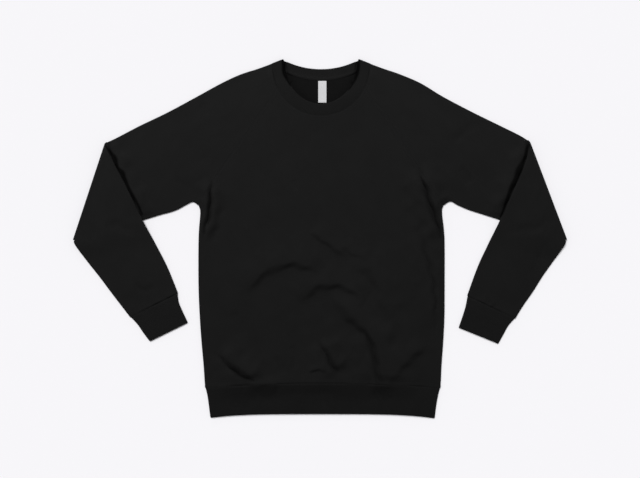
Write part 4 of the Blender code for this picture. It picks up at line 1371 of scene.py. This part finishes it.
def neckband():
    """The neckband, its length round the middle and its depth."""
    angles, shares = np.linspace(-math.pi / 2, math.pi / 2, NECK_POINTS), np.linspace(1, -1, NECK_POINTS)
    front_run = run_of((neck_arc(NECK_SEAM, angles) + neck_arc(NECK_OPEN, angles)) / 2)
    back_seam = back_arc(NECK_SEAM, BACK_NECK_SEAM, shares)
    back_run = run_of((back_seam + back_arc(NECK_OPEN, BACK_NECK_OPEN, shares)) / 2)
    bend = math.pi * EDGE
    whole = front_run[-1] + back_run[-1] + 2 * bend
    count = NECK_RIBS * PER_RIB
    s = (np.arange(count) / count * whole - bend / 2) % whole
    marks = np.cumsum([0, front_run[-1], bend, back_run[-1], bend])
    angle = np.interp(s, front_run, angles)
    share = np.interp(s - marks[2], back_run, shares)
    turn = np.interp(s, marks, [0, 0, math.pi, math.pi, 2 * math.pi])
    sideways = np.where(s < marks[2] + back_run[-1] / 2, 1, -1)[:, None] * np.sin(turn)[:, None]
    bends = np.where(s[:, None] < (marks[2] + marks[3]) / 2, shoulder("right")[1], shoulder("left")[1])
    outward = np.column_stack([np.abs(sideways) * bends, np.cos(turn)])
    is_front = s < (marks[1] + marks[2]) / 2
    is_front |= s > (marks[3] + marks[4]) / 2
    angle = np.where(s > marks[3], -math.pi / 2, angle)
    share = np.where(s > marks[3], -1, share)
    lifted = smooth((math.pi / 2 - np.abs(angle)) / BAND_DESCENT) * (s <= marks[1])
    at_back = (1 - np.cos(turn)) / 2
    free_edge = neck_arc(NECK_OPEN, angles[::8])
    apexes = neck_arc(NECK_OPEN, angles[[0, -1]])

    def middle_line(t):
        front_line = neck_arc(NECK_SEAM, angle) * (1 - t) + neck_arc(NECK_OPEN, angle) * t
        back_line = back_arc(NECK_SEAM, BACK_NECK_SEAM, share) * (1 - t)
        back_line += back_arc(NECK_OPEN, BACK_NECK_OPEN, share) * t
        return np.where(is_front[:, None], front_line, back_line)

    def lift(line, t):
        up = rise(line, distance(line, OUTLINE)) + BAND_RISE
        up += BAND_SWELL * math.sin(math.pi * min(max(t, 0), 1))
        flare = NECK_FLARE * max(t, 0) * (1 - at_back)
        height, gap, climb, reach = CURL
        apex = apexes[(line[:, 0] > NECK_X).astype(int)]
        corner = bell(np.linalg.norm(line - apex, axis=1) / reach)
        curl = height * smooth((distance(line, [free_edge]) - gap) / climb) * corner * at_back
        return up * lifted + flare + curl

    depth = np.mean(np.linalg.norm(middle_line(1) - middle_line(0), axis=1))
    inside = np.where(is_front, INSIDE_RIBS, 1)
    skin = rib_band("neckband_skin", middle_line, outward, lift, depth, whole / NECK_RIBS, NECK_ROWS, FAINT,
                    inside, np.where(is_front, 0, NECK_TAPE))
    return skin, whole, depth


neck = neckband()

# %% [markdown]
# ## Label
#
# A short strip of woven tape is caught in the back neck seam and hangs over the inside of the back. Its lower
# end is folded under, so it is thicker there. It is left blank. A sheet this stiff curls a little rather than
# creases.

# %% Neck label
LABEL_X = 3.0 * MM
LABEL_WIDTH = 16.8 * MM
LABEL_LENGTH = 45.6 * MM
LABEL_TUCK = -1.0 * MM  # how far it runs on under the band; it starts just below it
TAPE_THICKNESS = 0.4 * MM
LABEL_GAP = 0.15 * MM  # above the inside of the back
LABEL_LIFT = 1.1 * MM  # how much higher its lower end is
LABEL_WAVE = 0.35 * MM
LABEL_CUP = 0.5 * MM  # the sides of that end are a quarter of this higher still
LABEL_HEM = (0.9, 0.3 * MM)  # the folded end: where it starts, and how much thicker it is


def neck_label():
    """The label, a sheet that lifts, waves and cups a little."""
    u, down = np.meshgrid(np.linspace(-0.5, 0.5, 25), np.linspace(0, 1, 65))
    x = LABEL_X + u * LABEL_WIDTH
    y = BACK_NECK_SEAM + LABEL_TUCK - down * (LABEL_LENGTH + LABEL_TUCK)
    height = FLEECE + LABEL_GAP + TAPE_THICKNESS + LABEL_LIFT * down**2
    height += LABEL_WAVE * np.sin(5.2 * down + 0.6) * np.cos(2.2 * u) + LABEL_CUP * u**2 * down
    outer = np.dstack([x, y, height + LABEL_HEM[1] * smooth((down - LABEL_HEM[0]) / 0.012)])
    inner = np.dstack([x, y, height - TAPE_THICKNESS])
    return two_faced_skin("neck_label_skin", outer, inner, np.dstack([x, y]), False, [TAPE, TAPE])


label = neck_label()

# %% [markdown]
# ## Stitches
#
# The raglan, neck and hem seams are each held down by two rows of topstitching. The stitches are of the same
# black as the cloth, and they show as two fine beaded lines that catch the light. They could be bump, but real
# ones stand up enough to catch it at the right place. One small bead is modelled and repeated along lines
# beside each seam, at the height of the cloth there.

# %% A stitch, and rows of them
STITCH = {"pitch": 3.2 * MM, "length": 2.9 * MM, "width": 0.6 * MM, "height": 0.36 * MM}
SIDES_OF_BEAD = 6
SHOULDERS = (-0.3, 0.3)  # where a bead, which is 1 long, reaches its full width

bead_round = [(math.cos(a) / 2, math.sin(a) / 2) for a in np.arange(SIDES_OF_BEAD) * math.pi / 3]
BEAD = np.array([(-0.5, 0, 0), *((x, y, z) for x in SHOULDERS for y, z in bead_round), (0.5, 0, 0)])
BEAD_FACES = []
for k in range(SIDES_OF_BEAD):
    a, b = 1 + k, 1 + (k + 1) % SIDES_OF_BEAD
    c, d = a + SIDES_OF_BEAD, b + SIDES_OF_BEAD
    BEAD_FACES += [(0, b, a), (a, b, d, c), (len(BEAD) - 1, c, d)]


def face_height(points, shape, up):
    """How high the outer face of a layer is; up is 1 for the upper layer and -1 for the lower one."""
    away, lift, dip = shape(points)
    return EDGE + up * (EDGE - dip) * np.sqrt(1 - (1 - np.clip(away / EDGE, 0, 1)) ** 2) + lift


def sewn_to_front(plan):
    """Points on the upper layer as they end up, moved with the banks of the crevices."""
    shift = closing(plan, distance(plan, OUTLINE))
    return np.column_stack([plan + shift, face_height(plan, front_shape, 1)])


def sewn_to_back(plan):
    """Points on the lower layer."""
    return np.column_stack([plan, face_height(plan, back_shape, -1)])


def stitch_rows(name, rows):
    """A mesh of stitches along each row: a line in the plan, and what sets its points on the cloth."""
    points, faces = [], []
    for line, sewn in rows:
        whole = run_of(line)[-1]
        middles = np.arange(STITCH["pitch"], whole - STITCH["pitch"] / 2, STITCH["pitch"])
        ends = [sewn(along(line, (middles + off * STITCH["length"]) / whole)) for off in (-0.5, 0.5)]
        run = ends[1] - ends[0]
        side = unit(np.cross(run, (0, 0, 1)))
        up = unit(np.cross(side, run))
        for middle, r, s, t in zip((ends[0] + ends[1]) / 2, run, side, up):
            faces += [tuple(len(points) + k for k in face) for face in BEAD_FACES]
            bead = middle + BEAD @ np.array([r, s * STITCH["width"], t * STITCH["height"]])
            bead[:, 2] = np.maximum(bead[:, 2], 0)
            points += bead.tolist()
    mesh = bpy.data.meshes.new(name)
    mesh.from_pydata(points, [], faces)
    mesh.materials.append(THREAD)
    piece = outward_piece(name, mesh)
    bpy.ops.object.shade_smooth()
    print(f"{name}: {len(points) // len(BEAD)} stitches")
    return piece


def trimmed(line, clearance):
    """The line without its two ends, each as long as the clearance."""
    run = run_of(line)
    return line[(run > clearance) & (run < run[-1] - clearance)]


# %% Sew the seams
ROWS = (3.4 * MM, 7.4 * MM)  # from the seam to each row
RAGLAN_ROWS = (-3.8 * MM, 3.8 * MM)
CLEAR, RAGLAN_CLEAR = 2.0 * MM, 6.0 * MM  # a row starts and ends this far from the ends of its seam
SEAM_POINTS = 300

raglans, necks, hems = [], [], []
for face, sewn in (("front", sewn_to_front), ("back", sewn_to_back)):
    for side in SIGN:
        seam = along(raglan_line(face, side), np.linspace(0, 1, SEAM_POINTS))
        raglans += [(trimmed(to_the_left(seam, off), RAGLAN_CLEAR), sewn) for off in RAGLAN_ROWS]
arc = neck_arc(NECK_SEAM, np.linspace(-math.pi / 2, math.pi / 2, SEAM_POINTS))
necks += [(trimmed(to_the_left(arc, -off), CLEAR), sewn_to_front) for off in ROWS]
arc = back_arc(NECK_SEAM, BACK_NECK_SEAM, np.linspace(-1, 1, SEAM_POINTS))
necks += [(trimmed(to_the_left(arc, -off), CLEAR), sewn_to_back) for off in ROWS]
seam = along(HEM_SEAM, np.linspace(0, 1, SEAM_POINTS))
for sewn in (sewn_to_front, sewn_to_back):
    hems += [(trimmed(to_the_left(seam, off), CLEAR), sewn) for off in ROWS]
seams = {"raglans": raglans, "neck": necks, "hem": hems}
stitches = [stitch_rows(f"stitches_{name}", rows) for name, rows in seams.items()]

# %% [markdown]
# ## Join everything to the frame
#
# Each skin stands for one solid of the frame, which is hidden. A rib band is one sheet here, as deep as it is
# after folding, though it is cut twice as deep.

# %% Ride and replace
def cut(piece, node):
    """The piece rides the one body and stands for a node, whose solid is hidden."""
    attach(piece, "root")
    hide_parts(node)


cut(back, "back_panel")
cut(front, "front_panel")
for side in SIGN:
    tube, length = sleeves[side]
    cut(tube, f"sleeve_{side}")
    band, width, depth = cuffs[side]
    cut(band, f"cuff_{side}")
band, width, depth = hem
cut(band, "hem_band")
band, whole, depth = neck
cut(band, "neckband")
cut(label, "neck_label")
for rows in stitches:
    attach(rows, "root")
sides = [made[0] for made in [*sleeves.values(), *cuffs.values()]]
garment = [back, front, label, hem[0], neck[0], *stitches, *sides]
for lamp in lamps:
    light_only(lamp, garment)
